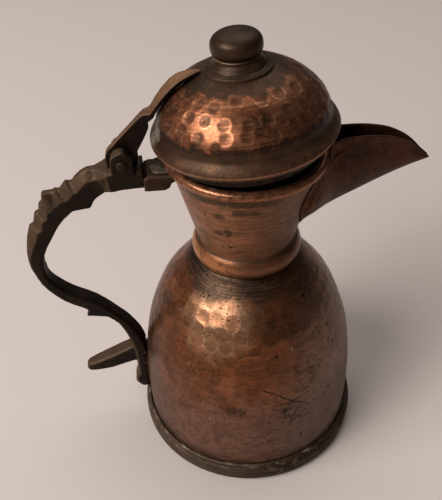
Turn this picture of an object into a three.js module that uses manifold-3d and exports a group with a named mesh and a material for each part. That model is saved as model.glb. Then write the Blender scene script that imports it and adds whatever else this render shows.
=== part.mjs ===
// Hammered copper jug with a hinged domed lid, a beak spout and a cast handle.
// Units are millimetres. +Z is up, the spout points to +X and the handle to -X.
// The origin is the centre of the flat underside of the base.
import * as THREE from 'three';
import { mergeVertices } from 'three/addons/utils/BufferGeometryUtils.js';
import Module from 'manifold-3d';

const wasm = await Module();
wasm.setup();

// Driving dimensions
const SHEET = 1.0; // copper sheet of the body, neck, spout and lid
const SEAT_GAP = 0.3; // between pieces that touch on the real jug
const RUN_GAP = 0.3; // between the hinge pin or ears and what turns on them
const FACET_GAP = 0.15; // more room where a piece follows a round made of flat facets
const WIRE_GAP = 0.4; // between a rolled edge and the wire inside it

const BODY_R = 64.4; // outside, just above the foot
const BODY_FOOT_IN = 0.2; // the wall's lower edge stands this far inside that
const BODY_STRAIGHT_Z = 34; // the wall stands upright below this height
const SHOULDER_Z = 114; // where the bell turns in towards the neck
const SHOULDER_R = 43.2;
const BODY_MOUTH_Z = 129; // the wall turns up here into a short flange inside the neck's collar
const BODY_MOUTH_R = 26.2;
const BODY_TOP_Z = BODY_MOUTH_Z + 7.6;

const BASE_THICK = 1.2;
const BASE_FLANGE_H = 7;
const BASE_R = BODY_R - BODY_FOOT_IN - SHEET - SEAT_GAP;
const FOOT_WALL = 3.3; // thickness of the foot ring
const FOOT_R = BODY_R + SEAT_GAP + FOOT_WALL;
const FOOT_H = 12.4;
const FOOT_EDGE = 1.2; // step in of the foot ring at the table

const WAIST_Z = BODY_MOUTH_Z + 13; // crease between the neck cone and its collar
const WAIST_R = BODY_MOUTH_R + 0.2;
const COLLAR_BULGE = 4.1;
const COLLAR_R = BODY_MOUTH_R + COLLAR_BULGE; // widest line of the collar
const COLLAR_EDGE_R = COLLAR_R - 2.1; // outside, at the collar's lower and upper edges
const COLLAR_HALF_H = 5.4;
const COLLAR_Z = WAIST_Z - COLLAR_HALF_H - 0.9;
const COLLAR_STEPS = 3;
const NECK_H = 47.6; // from the crease to the rolled rim
const NECK_TOP_Z = WAIST_Z + NECK_H;
const NECK_TOP_R = 39.1;
const RIM_WIRE_R = 1.25; // radius of the wire that the neck edge is rolled over
const RIM_ROLL_R = RIM_WIRE_R + WIRE_GAP + SHEET;
const RIM_RING_R = NECK_TOP_R + 0.3; // from the axis to the wire's centre
const RIM_Z = NECK_TOP_Z + 2.4;

const LID_AJAR = 0.081; // the lid bears on the rim at the back, so its front stands open (radians)
const LID_EDGE_R = RIM_RING_R + 5.9; // outside of the rolled edge
const LID_EDGE_Z = RIM_Z + 6.5;
const LID_BRIM_R = LID_EDGE_R + 1.5;
const LID_BRIM_Z = LID_EDGE_Z + 3.9;
const LID_NECKING_R = LID_EDGE_R - 2.2; // hollow between the brim and the dome
const LID_NECKING_Z = LID_EDGE_Z + 9.4;
const LID_DOME_R = LID_EDGE_R - 3.3;
const LID_DOME_Z = LID_EDGE_Z + 14.5;
const LID_RISE = 21.6; // height of the dome alone
const LID_TOP_Z = LID_DOME_Z + LID_RISE;
const LID_WIRE_R = 0.85;
const LID_ROLL_R = LID_WIRE_R + WIRE_GAP + SHEET;
const SEAT_RING_R = RIM_RING_R; // collar inside the lid that bears on the rim
const SEAT_RING_TOP_Z = LID_EDGE_Z + 12.5;

const CROWN_R = 16.6;
const CROWN_LIP = 1.5;
const CROWN_NECK_R = 9.2;
const CROWN_TOP_Z = LID_TOP_Z + 5;
const KNOB_R = 12.3;
const KNOB_DROP = 4.1;
const KNOB_Z = CROWN_TOP_Z + SEAT_GAP + KNOB_DROP; // height of the knob's widest line
const KNOB_RISE = 6.6;
const KNOB_STEM_R = 2.2;
const STEM_HEAD_R = 3.4;
const STEM_HEAD_H = 1.4;
const WASHER_R = 5.5;
const WASHER_THICK = 1.0;

const HINGE_X = -RIM_RING_R - 22.9;
const HINGE_Z = RIM_Z + 2.7;
const PIN_R = 1.65;
const PIN_WEAR = 0.25; // the strap's hole has worn this much wider
const PIN_HEAD_R = 2.8;
const PIN_HEAD_H = 1.5;
const EAR_R = 5.6;
const EAR_RISE = 1.1; // the round top of each ear is centred this far above the pin
const EAR_HALF = 9.0; // half the width over both ears
const TONGUE_HALF = 2.05; // half the thickness of the strap's tongue
const TONGUE_R = 8.2;

const BRACKET_X = HINGE_X + 9.9; // joint between the handle and its bracket
const BRACKET_HALF = 9.2;
const BRACKET_H = 9;
const BRACKET_TOP_Z = HINGE_Z - 7.7;
const TENON_L = 6;
const TENON_HALF = 4.5;
const TENON_H = 4;

const HANDLE_REACH = 115.9; // from the jug's axis to the middle of the grip
const TAIL_OUT = 3.3; // from the body's wall to the middle of the handle's tail
const TAIL_TOP_Z = 67.6;

const TURN_STEPS = 32;
const FINE_STEPS = 24;

// Helpers
const lerp = THREE.MathUtils.lerp;

function weld(geometry) {
  const bare = geometry.clone();
  bare.deleteAttribute('normal');
  bare.deleteAttribute('uv');
  return mergeVertices(bare, 1e-4);
}

function signedVolume(geometry) {
  const p = geometry.attributes.position;
  const index = geometry.index;
  const a = new THREE.Vector3();
  const b = new THREE.Vector3();
  const c = new THREE.Vector3();
  let sum = 0;
  for (let i = 0; i < index.count; i += 3) {
    a.fromBufferAttribute(p, index.getX(i));
    b.fromBufferAttribute(p, index.getX(i + 1));
    c.fromBufferAttribute(p, index.getX(i + 2));
    sum += a.dot(b.cross(c));
  }
  return sum / 6;
}

// A welded copy whose faces point out.
function closed(geometry) {
  const welded = weld(geometry);
  if (signedVolume(welded) < 0) {
    const index = welded.index;
    for (let i = 0; i < index.count; i += 3) {
      const first = index.getX(i);
      index.setX(i, index.getX(i + 2));
      index.setX(i + 2, first);
    }
  }
  return welded;
}

function solid(geometry) {
  const welded = closed(geometry);
  const mesh = new wasm.Mesh({
    numProp: 3,
    vertProperties: new Float32Array(welded.attributes.position.array),
    triVerts: new Uint32Array(welded.index.array),
  });
  return new wasm.Manifold(mesh);
}

function surface(manifold) {
  const mesh = manifold.getMesh();
  const geometry = new THREE.BufferGeometry();
  geometry.setAttribute('position', new THREE.BufferAttribute(new Float32Array(mesh.vertProperties), 3));
  geometry.setIndex(new THREE.BufferAttribute(new Uint32Array(mesh.triVerts), 1));
  return geometry;
}

// Turned form about the Z axis from [radius, height] points.
function turned(profile, steps = TURN_STEPS) {
  const points = profile.map(([r, z]) => new THREE.Vector2(r, z));
  const onAxis = profile[0][0] === 0 && profile.at(-1)[0] === 0;
  if (!onAxis) {
    points.push(points[0].clone());
  }
  const geometry = new THREE.LatheGeometry(points, steps);
  geometry.rotateX(Math.PI / 2);
  return closed(geometry);
}

// Closed outline of a strip that lies half its thickness to each side of a middle line.
function strip(line, thickness) {
  const side = (sign) => line.map(([x, y], i) => {
    const before = line[Math.max(i - 1, 0)];
    const after = line[Math.min(i + 1, line.length - 1)];
    const dx = after[0] - before[0];
    const dy = after[1] - before[1];
    const length = Math.hypot(dx, dy);
    const shift = (sign * thickness) / 2;
    return [x - (dy / length) * shift, y + (dx / length) * shift];
  });
  return [...side(1), ...side(-1).reverse()];
}

function smooth(points, count) {
  const knots = points.map(([x, y]) => new THREE.Vector3(x, y, 0));
  const curve = new THREE.CatmullRomCurve3(knots, false, 'centripetal');
  return curve.getSpacedPoints(count).map((p) => [p.x, p.y]);
}

function arc(cx, cy, radius, fromDeg, toDeg, steps) {
  const points = [];
  for (let i = 0; i <= steps; i += 1) {
    const a = THREE.MathUtils.degToRad(lerp(fromDeg, toDeg, i / steps));
    points.push([cx + radius * Math.cos(a), cy + radius * Math.sin(a)]);
  }
  return points;
}

// Value of a broken line through [position, value] knots.
function along(knots, position) {
  if (position <= knots[0][0]) {
    return knots[0][1];
  }
  for (let i = 1; i < knots.length; i += 1) {
    const [p1, v1] = knots[i];
    const [p0, v0] = knots[i - 1];
    if (position <= p1) {
      return lerp(v0, v1, (position - p0) / (p1 - p0));
    }
  }
  return knots.at(-1)[1];
}

// Skin over rings of points, with a cap at each end. Each ring is a list of [x, y, z] that reads
// down one side and back up the other, so the caps join point i to its partner on the way back.
function loft(rings) {
  const n = rings[0].length;
  const index = [];
  rings.slice(1).forEach((ring, k) => {
    for (let i = 0; i < n; i += 1) {
      const j = (i + 1) % n;
      const a = k * n + i;
      const b = k * n + j;
      index.push(a, b, a + n, b, b + n, a + n);
    }
  });
  const cap = (start, flip) => {
    for (let i = 0; i < n / 2 - 1; i += 1) {
      const quad = [start + i, start + i + 1, start + n - 2 - i, start + n - 1 - i];
      const tris = [[quad[0], quad[1], quad[2]], [quad[0], quad[2], quad[3]]];
      tris.forEach(([a, b, c]) => index.push(...(flip ? [a, c, b] : [a, b, c])));
    }
  };
  cap(0, true);
  cap((rings.length - 1) * n, false);
  const geometry = new THREE.BufferGeometry();
  geometry.setAttribute('position', new THREE.Float32BufferAttribute(rings.flat(2), 3));
  geometry.setIndex(index);
  return closed(geometry);
}

function boxSolid(x0, x1, y0, y1, z0, z1) {
  const geometry = new THREE.BoxGeometry(x1 - x0, y1 - y0, z1 - z0);
  geometry.translate((x0 + x1) / 2, (y0 + y1) / 2, (z0 + z1) / 2);
  return solid(geometry);
}

// Round bar along Y, centred on the hinge axis.
function hingeRound(radius, y0, y1, steps = FINE_STEPS) {
  const geometry = new THREE.CylinderGeometry(radius, radius, y1 - y0, steps);
  geometry.translate(HINGE_X, (y0 + y1) / 2, HINGE_Z);
  return solid(geometry);
}

// Body, as the outside line of the bell
function bodyOutside() {
  const bell = [
    [BODY_R, BODY_STRAIGHT_Z],
    [BODY_R - 1.2, SHOULDER_Z - 58],
    [BODY_R - 5.2, SHOULDER_Z - 34],
    [SHOULDER_R + 6.9, SHOULDER_Z - 10],
    [SHOULDER_R, SHOULDER_Z],
    [lerp(SHOULDER_R, BODY_MOUTH_R, 0.47), lerp(SHOULDER_Z, BODY_MOUTH_Z, 0.567)],
    [BODY_MOUTH_R + 4.2, BODY_MOUTH_Z - 2.2],
    [BODY_MOUTH_R + 1.2, BODY_MOUTH_Z],
    [BODY_MOUTH_R, BODY_MOUTH_Z + 2],
  ];
  return [[BODY_R - BODY_FOOT_IN, BASE_THICK + 0.4], ...smooth(bell, 10), [BODY_MOUTH_R, BODY_TOP_Z]];
}

function inset(line, depth) {
  return strip(line, 2 * depth).slice(0, line.length);
}

function bodyShell() {
  return turned(strip(inset(bodyOutside(), SHEET / 2), SHEET));
}

function basePlate() {
  return turned([
    [0, 0],
    [BASE_R - 1, 0],
    [BASE_R, 1],
    [BASE_R, BASE_FLANGE_H],
    [BASE_R - BASE_THICK, BASE_FLANGE_H],
    [BASE_R - BASE_THICK, BASE_THICK],
    [0, BASE_THICK],
  ]);
}

function footRing() {
  const inner = BODY_R + SEAT_GAP;
  return turned([
    [inner, 0],
    [FOOT_R - FOOT_EDGE, 0],
    [FOOT_R - 0.2, 1.6],
    [FOOT_R, 4],
    [FOOT_R, FOOT_H - 4.8],
    [FOOT_R - 0.7, FOOT_H - 2],
    [FOOT_R - 1.9, FOOT_H],
    [inner, FOOT_H + 0.3],
  ]);
}

function baseSolder() {
  const z = BASE_FLANGE_H + SEAT_GAP;
  return turned([[BASE_R, z], [BASE_R, z + 2.6], [BASE_R - 2.2, z]]);
}

// Neck, as the middle line of its sheet, from the collar edge up to the rolled rim
function neckLine() {
  const half = SHEET / 2;
  const collar = [];
  for (let i = -COLLAR_STEPS; i <= COLLAR_STEPS; i += 1) {
    const t = i / COLLAR_STEPS;
    collar.push([lerp(COLLAR_R, COLLAR_EDGE_R, t * t) - half, COLLAR_Z + t * COLLAR_HALF_H]);
  }
  const roll = arc(RIM_RING_R, RIM_Z, RIM_ROLL_R - half, 222, -48, 7);
  return [
    ...collar,
    [WAIST_R - half, WAIST_Z],
    [lerp(WAIST_R, NECK_TOP_R, 0.5) - half, lerp(WAIST_Z, NECK_TOP_Z, 0.5)],
    [NECK_TOP_R - half - 0.4, NECK_TOP_Z - 1.4],
    ...roll,
  ];
}

// Solid that fills the neck and rim, grown outwards, for cutting what sits against it.
function neckSpace(grow) {
  const rimR = RIM_RING_R + RIM_ROLL_R;
  return solid(turned([
    [0, COLLAR_Z - COLLAR_HALF_H - 1],
    [COLLAR_R + grow, COLLAR_Z - COLLAR_HALF_H - 1],
    [COLLAR_R + grow, COLLAR_Z + 1.5],
    [COLLAR_EDGE_R + grow, COLLAR_Z + COLLAR_HALF_H],
    [WAIST_R + 0.3 + grow, WAIST_Z + 0.9],
    [NECK_TOP_R + grow, NECK_TOP_Z - 0.9],
    [rimR + grow, NECK_TOP_Z - 0.4],
    [rimR + grow, LID_TOP_Z],
    [0, LID_TOP_Z],
  ]));
}

// Spout stations: distance outwards from the rim's wire, keel and edge heights above it, half width
// at mid height, half width between the edges, and how round the keel is (2 is an ellipse).
const SPOUT_STATIONS = [
  { out: -19.4, keel: -45.5, edge: 0, belly: 24.6, mouth: 23.5, round: 1.3 },
  { out: -11.4, keel: -43.4, edge: 3, belly: 24.4, mouth: 22, round: 1.35 },
  { out: -5.4, keel: -40.6, edge: 5, belly: 21.8, mouth: 19, round: 1.4 },
  { out: -0.4, keel: -38.4, edge: 6.2, belly: 16.6, mouth: 14, round: 1.45 },
  { out: 4.6, keel: -35.6, edge: 7, belly: 11.8, mouth: 9, round: 1.55 },
  { out: 10.6, keel: -32.2, edge: 7.7, belly: 9.4, mouth: 7.2, round: 1.7 },
  { out: 18.6, keel: -27.8, edge: 7.9, belly: 8.3, mouth: 6.6, round: 1.85 },
  { out: 26.6, keel: -23.4, edge: 7.3, belly: 7.4, mouth: 6.1, round: 2 },
  { out: 34.6, keel: -19.4, edge: 5.6, belly: 6.6, mouth: 5.5, round: 2 },
  { out: 42.6, keel: -15.8, edge: 2, belly: 5.6, mouth: 4.6, round: 2 },
  { out: 47.6, keel: -13.8, edge: -1.6, belly: 4.6, mouth: 3.6, round: 2 },
  { out: 52.6, keel: -12.2, edge: -6.6, belly: 3, mouth: 2.2, round: 2 },
  { out: 56.4, keel: -11.2, edge: -9.6, belly: 1.5, mouth: 1.2, round: 2 },
].map((s) => ({ ...s, x: RIM_RING_R + s.out, keel: RIM_Z + s.keel, edge: RIM_Z + s.edge }));
const SPOUT_ARC_STEPS = 5;
const SPOUT_SIDE_STEPS = 3;

// One side of a spout section as [half width, height] from the edge down to the keel.
function spoutSide(station, grow) {
  const keel = station.keel - grow;
  const belly = Math.max(station.belly + grow, 0.35);
  const mouth = Math.max(station.mouth + grow, 0.3);
  const middle = (station.keel + station.edge) / 2;
  const side = [];
  for (let i = 0; i < SPOUT_SIDE_STEPS; i += 1) {
    const t = i / SPOUT_SIDE_STEPS;
    const ease = t * t * (3 - 2 * t);
    side.push([lerp(mouth, belly, ease), lerp(station.edge, middle, t)]);
  }
  for (let i = 0; i <= SPOUT_ARC_STEPS; i += 1) {
    const a = (Math.PI / 2) * (i / SPOUT_ARC_STEPS);
    const power = 2 / station.round;
    const y = Math.max(belly * Math.cos(a) ** power, 0.05);
    side.push([y, middle - (middle - keel) * Math.sin(a) ** power]);
  }
  return side;
}

function spoutShell() {
  const rings = SPOUT_STATIONS.map((station) => {
    const outer = spoutSide(station, 0);
    const inner = spoutSide(station, -Math.min(SHEET, station.belly * 0.6));
    const path = (side) => [
      ...side.map(([y, z]) => [station.x, y, z]),
      ...side.slice().reverse().map(([y, z]) => [station.x, -y, z]),
    ];
    return [...path(outer), ...path(inner).reverse()];
  });
  return loft(rings);
}

function spoutSpace(grow) {
  const rings = SPOUT_STATIONS.map((station) => {
    const side = spoutSide(station, grow);
    return [
      ...side.map(([y, z]) => [station.x, y, z]),
      ...side.slice().reverse().map(([y, z]) => [station.x, -y, z]),
    ];
  });
  return solid(loft(rings));
}

const POUR_MARGIN = 3.4; // sheet left between the pour opening and the spout's root
const POUR_TOP_Z = NECK_TOP_Z - 4.1;

function neckShell() {
  const shell = solid(turned(strip(neckLine(), SHEET)));
  const below = boxSolid(0, FOOT_R, -FOOT_R, FOOT_R, WAIST_Z, POUR_TOP_Z);
  return surface(shell.subtract(spoutSpace(-POUR_MARGIN).intersect(below)));
}

function rimWire() {
  return turned(arc(RIM_RING_R, RIM_Z, RIM_WIRE_R, 0, 315, 7), TURN_STEPS);
}

function spout() {
  return surface(solid(spoutShell()).subtract(neckSpace(SEAT_GAP)));
}

// Ribbon of solder in the corner between the neck and the spout's root
const SOLDER_OUT = 1.1;
const SOLDER_WIDE = 2.8;
const SOLDER_HEEL_OUT = 2.4; // thicker against the spout itself
const SOLDER_HEEL = 1.6;

function spoutSolder() {
  const shellTop = NECK_TOP_Z - 1.6;
  const wide = spoutSpace(SOLDER_WIDE).subtract(spoutSpace(SEAT_GAP + FACET_GAP));
  const heel = spoutSpace(SOLDER_HEEL).subtract(spoutSpace(SEAT_GAP + FACET_GAP));
  const thin = neckSpace(SOLDER_OUT);
  const thick = neckSpace(SOLDER_HEEL_OUT);
  const zone = boxSolid(0, FOOT_R, -FOOT_R, FOOT_R, WAIST_Z + 2.4, shellTop).subtract(neckSpace(SEAT_GAP));
  return surface(wide.intersect(thin).add(heel.intersect(thick)).intersect(zone));
}

// Ring of solder between the body's mouth and the inside of the collar
function neckSolder() {
  const inner = BODY_MOUTH_R + SEAT_GAP;
  const outer = COLLAR_R - SHEET - SEAT_GAP;
  return turned([
    [inner, COLLAR_Z - 3],
    [outer - 0.9, COLLAR_Z - 3],
    [outer, COLLAR_Z],
    [outer - 0.8, COLLAR_Z + 2.6],
    [inner, BODY_TOP_Z],
  ]);
}

// Handle: a spine in the XZ plane, with a depth outwards and inwards, and a half width. Its head
// follows the hinge, its grip the reach, and its tail the body, with a sweep from grip to tail.
const HEAD_LINE = [
  [0.3, -9.7], [-9.7, -10.7], [-19.7, -14.9], [-29.2, -21.1], [-38.7, -28.1], [-46.3, -38.1], [-50.9, -48.3],
];
const GRIP_LINE = [[0.5, 8], [0, 0], [1.5, -8.4], [5.7, -16], [12.7, -23.6]];
const GRIP_DROP = 65.3; // from the hinge down to the middle of the grip
const SWEEP_SHARES = [[0.34, 0.2], [0.65, 0.45], [0.86, 0.71]];

function spine() {
  const grip = GRIP_LINE.map(([x, z]) => [x - HANDLE_REACH, HINGE_Z - GRIP_DROP + z]);
  const [gripX, gripZ] = grip.at(-1);
  const tailX = -BODY_R - TAIL_OUT;
  const tailTopX = tailX - 2.5;
  return [
    [BRACKET_X - SEAT_GAP - FACET_GAP, HINGE_Z - 9.5],
    ...HEAD_LINE.map(([x, z]) => [HINGE_X + x, HINGE_Z + z]),
    ...grip,
    ...SWEEP_SHARES.map(([a, b]) => [lerp(gripX, tailTopX, a), lerp(gripZ, TAIL_TOP_Z, b)]),
    [tailTopX, TAIL_TOP_Z],
    [tailX - 0.2, TAIL_TOP_Z - 12.6],
    [tailX, TAIL_TOP_Z - 27.6],
    [tailX, TAIL_TOP_Z - 38.6],
    [tailX + 0.5, TAIL_TOP_Z - 47],
  ];
}

const SPINE_STEPS = 42;
const KNOT_CLEAR = 1.5; // even stations closer than this to a knot are left out

// Depth outwards of the crest, by distance along the spine. The saw teeth lie between 35 and 70,
// with the largest at the corner, and the ledge on the lower sweep is at 138.
const CREST = [
  [0, 4.6], [17, 6.0], [22, 7.2], [25, 8.3], [28.3, 8.2], [31.4, 7.3], [35.3, 6.1], [37.2, 8.2],
  [42.9, 6.5], [44.7, 8.1], [46.3, 8.1], [50.3, 10.9], [53.6, 7.4], [55.1, 8.0], [58.3, 5.5], [61.2, 6.9],
  [66.5, 4.8], [69.4, 6.4], [74.6, 6.0], [85.8, 5.0], [93.6, 4.2], [101, 3.2], [110, 3.4], [122, 4.1],
  [137, 4.3], [138.4, 9.0], [149, 2.3], [158, 1.4], [171, 2.6], [200, 3.0], [221, 2.8],
];
// Depth outwards of the upper edge of each flank
const FLANK = [
  [0, 3.4], [17, 4.6], [19.5, 2.4], [25, 2.8], [28.3, 3.5], [35.3, 1.2], [37.2, 1.9], [42.9, 0.6],
  [44.7, 1.8], [50.3, 1.6], [53.6, 0.8], [55.1, 2.4], [58.3, 0.4], [61.2, 1.5], [66.5, -0.4], [69.4, 1.5],
  [74.6, 0.8], [88, 3.2], [101, 1.8], [110, 2.0], [122, 2.7], [137, 2.9], [138.4, 7.4], [149, 1.0],
  [158, 0.2], [171, 1.2], [200, 1.6], [221, 1.4],
];
// Depth inwards. The small spur on the inner face is at 36.5.
const INNER = [
  [0, 5.0], [9.8, 5.2], [18.5, 5.7], [24, 6.7], [30, 7.4], [32.5, 8.6], [36.5, 10.5], [39.2, 9.1],
  [45, 6.2], [51, 6.8], [67, 6.9], [75.3, 6.1], [86.2, 3.9], [97, 2.5], [105, 2.6], [120, 3.8],
  [136.5, 4.1], [151, 3.2], [166, 4.2], [177, 4.9], [221, 4.4],
];
const WIDTH = [
  [0, EAR_HALF], [17, EAR_HALF], [19.5, 6.0], [30, 5.5], [75, 5.5], [90, 4.9], [120, 5.0], [150, 5.0],
  [170, 5.4], [182, 6.4], [196, 5.8], [210, 4.8], [221, 3.4],
];
const CREST_SHARE = [[0, 0.86], [17, 0.86], [19.5, 0.32], [76, 0.32], [90, 0.76], [221, 0.74]];

function handleRings() {
  const points = spine().map(([x, z]) => new THREE.Vector3(x, 0, z));
  const curve = new THREE.CatmullRomCurve3(points, false, 'centripetal');
  const total = curve.getLength();
  const sharp = [...CREST, ...INNER.slice(5, 8)].map(([p]) => p).filter((p) => p > 0 && p < total);
  const even = Array.from({ length: SPINE_STEPS + 1 }, (_, i) => (total * i) / SPINE_STEPS);
  const near = (p) => sharp.some((q) => Math.abs(p - q) < KNOT_CLEAR);
  const kept = even.filter((p) => p === 0 || p === total || !near(p));
  return [...kept, ...new Set(sharp)].sort((a, b) => a - b).map((p) => {
    const at = curve.getPointAt(p / total);
    const tangent = curve.getTangentAt(p / total);
    const out = new THREE.Vector3(tangent.z, 0, -tangent.x);
    const crest = along(CREST, p);
    const flank = Math.min(along(FLANK, p), crest - 0.8);
    const inner = along(INNER, p);
    const half = along(WIDTH, p);
    const crestHalf = half * along(CREST_SHARE, p);
    const place = (depth, y) => [at.x + out.x * depth, y, at.z + out.z * depth];
    const right = [
      place(crest, crestHalf),
      place(flank, half),
      place(1.2 - inner, half),
      place(-inner, half - 1.3),
    ];
    const left = right.map(([x, y, z]) => [x, -y, z]).reverse();
    return [...right, ...left];
  });
}

// Grip spur that stands out from the tail: [out from the body, top, bottom, half width], with
// heights below the tail's top
const SPUR_STATIONS = [
  [2.1, -6.6, -20.1, 4.6],
  [8.6, -8, -21, 4.9],
  [21.6, -14.8, -25.6, 4.9],
  [31.6, -19.6, -27.6, 4.3],
  [36.2, -21.6, -28, 3.6],
  [38, -23.2, -27, 2.6],
].map(([out, top, bottom, half]) => [-BODY_R - out, TAIL_TOP_Z + top, TAIL_TOP_Z + bottom, half]);

function spurSolid() {
  const rings = SPUR_STATIONS.map(([x, top, bottom, half]) => {
    const bevel = Math.min(1.2, (top - bottom) / 4);
    const right = [[half - bevel, top], [half, top - bevel], [half, bottom + bevel], [half - bevel, bottom]];
    return [
      ...right.map(([y, z]) => [x, y, z]),
      ...right.slice().reverse().map(([y, z]) => [x, -y, z]),
    ];
  });
  return solid(loft(rings));
}

function bodySpace(grow) {
  const line = bodyOutside();
  const outside = inset(line, -grow);
  return solid(turned([[0, outside[0][1]], ...outside, [0, outside.at(-1)[1]]]));
}

function handle() {
  const earGap = TONGUE_HALF + RUN_GAP;
  const slotR = TONGUE_R + RUN_GAP;
  const earTop = hingeRound(EAR_R, -EAR_HALF, EAR_HALF).translate([0, 0, EAR_RISE]);
  const earFoot = boxSolid(
    HINGE_X - EAR_R, HINGE_X + EAR_R, -EAR_HALF, EAR_HALF, HINGE_Z - TONGUE_R - 2.5, HINGE_Z + EAR_RISE,
  );
  const slotTop = HINGE_Z + EAR_RISE + 2 * EAR_R;
  const slot = hingeRound(slotR, -earGap, earGap, 32)
    .add(boxSolid(HINGE_X - slotR, HINGE_X + slotR, -earGap, earGap, HINGE_Z, slotTop));
  const tenonZ = BRACKET_TOP_Z - BRACKET_H / 2;
  const tenon = boxSolid(
    BRACKET_X - 1, BRACKET_X + TENON_L, -TENON_HALF, TENON_HALF, tenonZ - TENON_H / 2, tenonZ + TENON_H / 2,
  );
  const casting = solid(loft(handleRings()))
    .add(spurSolid())
    .add(earTop)
    .add(earFoot)
    .add(tenon)
    .subtract(slot)
    .subtract(hingeRound(PIN_R + SEAT_GAP, -EAR_HALF - 1, EAR_HALF + 1, 16))
    .subtract(bodySpace(BRAZE_THICK + 2 * SEAT_GAP));
  return surface(casting);
}

// Thin layer of braze that holds the tail to the body
const BRAZE_THICK = 0.7;
const BRAZE_TOP_Z = TAIL_TOP_Z - 6.6;
const BRAZE_BOTTOM_Z = TAIL_TOP_Z - 47.6;
const BRAZE_HALF = 6.6;

function tailBraze() {
  const layer = bodySpace(BRAZE_THICK + SEAT_GAP).subtract(bodySpace(SEAT_GAP));
  const middle = (BRAZE_TOP_Z + BRAZE_BOTTOM_Z) / 2;
  const patch = new THREE.CylinderGeometry(1, 1, 20, FINE_STEPS);
  patch.rotateZ(Math.PI / 2);
  patch.scale(1, BRAZE_HALF, (BRAZE_TOP_Z - BRAZE_BOTTOM_Z) / 2);
  patch.translate(-BODY_R, 0, middle);
  return surface(layer.intersect(solid(patch)));
}

// Bracket block between the handle and the neck, with a mortise for the handle's tenon
function bracket() {
  const bottom = BRACKET_TOP_Z - BRACKET_H;
  const tenonZ = BRACKET_TOP_Z - BRACKET_H / 2;
  const profile = new THREE.Shape();
  const inner = 9; // the block is drawn this far into the neck, which then cuts it
  profile.moveTo(BRACKET_X, bottom + 1);
  profile.lineTo(BRACKET_X + 1, bottom);
  profile.lineTo(-NECK_TOP_R - 3, bottom);
  profile.lineTo(-NECK_TOP_R - 0.5, bottom + 1.4);
  profile.lineTo(-NECK_TOP_R + 0.4, bottom + 4);
  profile.lineTo(inner - NECK_TOP_R, bottom + 7);
  profile.lineTo(inner - NECK_TOP_R, BRACKET_TOP_Z);
  profile.lineTo(BRACKET_X + 1.6, BRACKET_TOP_Z);
  profile.lineTo(BRACKET_X, BRACKET_TOP_Z - 1.6);
  const block = new THREE.ExtrudeGeometry(profile, {
    depth: 2 * BRACKET_HALF - 2, bevelEnabled: true, bevelThickness: 1, bevelSize: 0.8, bevelOffset: -0.8,
    bevelSegments: 1,
  });
  block.rotateX(Math.PI / 2);
  block.translate(0, BRACKET_HALF - 1, 0);
  const mortise = boxSolid(
    BRACKET_X - 2, BRACKET_X + TENON_L + SEAT_GAP, -TENON_HALF - SEAT_GAP, TENON_HALF + SEAT_GAP,
    tenonZ - TENON_H / 2 - SEAT_GAP, tenonZ + TENON_H / 2 + SEAT_GAP,
  );
  return surface(solid(block).subtract(neckSpace(SEAT_GAP)).subtract(mortise));
}

// Smear of solder on the bracket where it meets the neck, by distance from the bracket's front
const PAD_LINE = [
  [2.9, -3], [4.8, -7.2], [12.4, -8], [22.4, -7], [22.4, 7], [11.4, 7.8], [5.4, 6.2], [2.9, -3],
];

function bracketSolder() {
  const z = BRACKET_TOP_Z + SEAT_GAP;
  const outline = new THREE.Shape(
    smooth(PAD_LINE, 20).slice(0, -1).map(([x, y]) => new THREE.Vector2(BRACKET_X + x, y)),
  );
  const pad = new THREE.ExtrudeGeometry(outline, {
    depth: 0.6, bevelEnabled: true, bevelThickness: 0.5, bevelSize: 0.6, bevelOffset: -0.6, bevelSegments: 1,
  });
  pad.translate(0, 0, z + 0.5);
  return surface(solid(pad).subtract(neckSpace(SEAT_GAP)));
}

function hingePin() {
  const half = EAR_HALF + SEAT_GAP;
  const dome = (sign) => [
    [0, sign * (half + PIN_HEAD_H)],
    [PIN_HEAD_R * 0.6, sign * (half + PIN_HEAD_H * 0.86)],
    [PIN_HEAD_R, sign * (half + PIN_HEAD_H * 0.35)],
    [PIN_HEAD_R, sign * half],
    [PIN_R, sign * half],
  ];
  const geometry = turned([...dome(-1), ...dome(1).reverse()], 16);
  geometry.rotateX(Math.PI / 2);
  geometry.translate(HINGE_X, 0, HINGE_Z);
  return geometry;
}

// Lid, drawn level and then turned open about the hinge
const DOME_WIDE_POWER = 0.8;
const DOME_HIGH_POWER = 1.52;
const DOME_STEPS = 8;

function lidLine() {
  const half = SHEET / 2;
  const roll = arc(LID_EDGE_R - LID_ROLL_R, LID_EDGE_Z + LID_ROLL_R, LID_ROLL_R - half, 130, 350, 5);
  const brim = smooth([
    [LID_EDGE_R - 0.2, LID_EDGE_Z + 2.4],
    [LID_BRIM_R - half, LID_BRIM_Z],
    [LID_BRIM_R - half - 0.9, LID_BRIM_Z + 2.1],
    [LID_NECKING_R - half, LID_NECKING_Z],
    [LID_DOME_R - half, LID_DOME_Z],
  ], 6);
  const top = Math.acos(((KNOB_STEM_R + RUN_GAP) / (LID_DOME_R - half)) ** (1 / DOME_WIDE_POWER));
  const dome = [];
  for (let i = 2; i <= DOME_STEPS; i += 1) {
    const a = (top * i) / DOME_STEPS;
    const r = (LID_DOME_R - half) * Math.cos(a) ** DOME_WIDE_POWER;
    dome.push([r, LID_DOME_Z + (LID_RISE - half) * Math.sin(a) ** DOME_HIGH_POWER]);
  }
  return [...roll, ...brim, ...dome];
}

function lidOutsideZ(r) {
  const line = inset(lidLine(), -SHEET / 2).filter(([, z]) => z > LID_NECKING_Z);
  const knots = line.map(([x, z]) => [x, z]).sort((a, b) => a[0] - b[0]);
  return along(knots, r);
}

function lidSpace(grow) {
  const line = lidLine().filter(([, z]) => z > LID_BRIM_Z);
  const outside = inset(line, -(SHEET / 2 + grow));
  return solid(turned([[0, LID_BRIM_Z], ...outside, [0, outside.at(-1)[1]]]));
}

function lidDome() {
  return turned(strip(lidLine(), SHEET));
}

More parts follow.
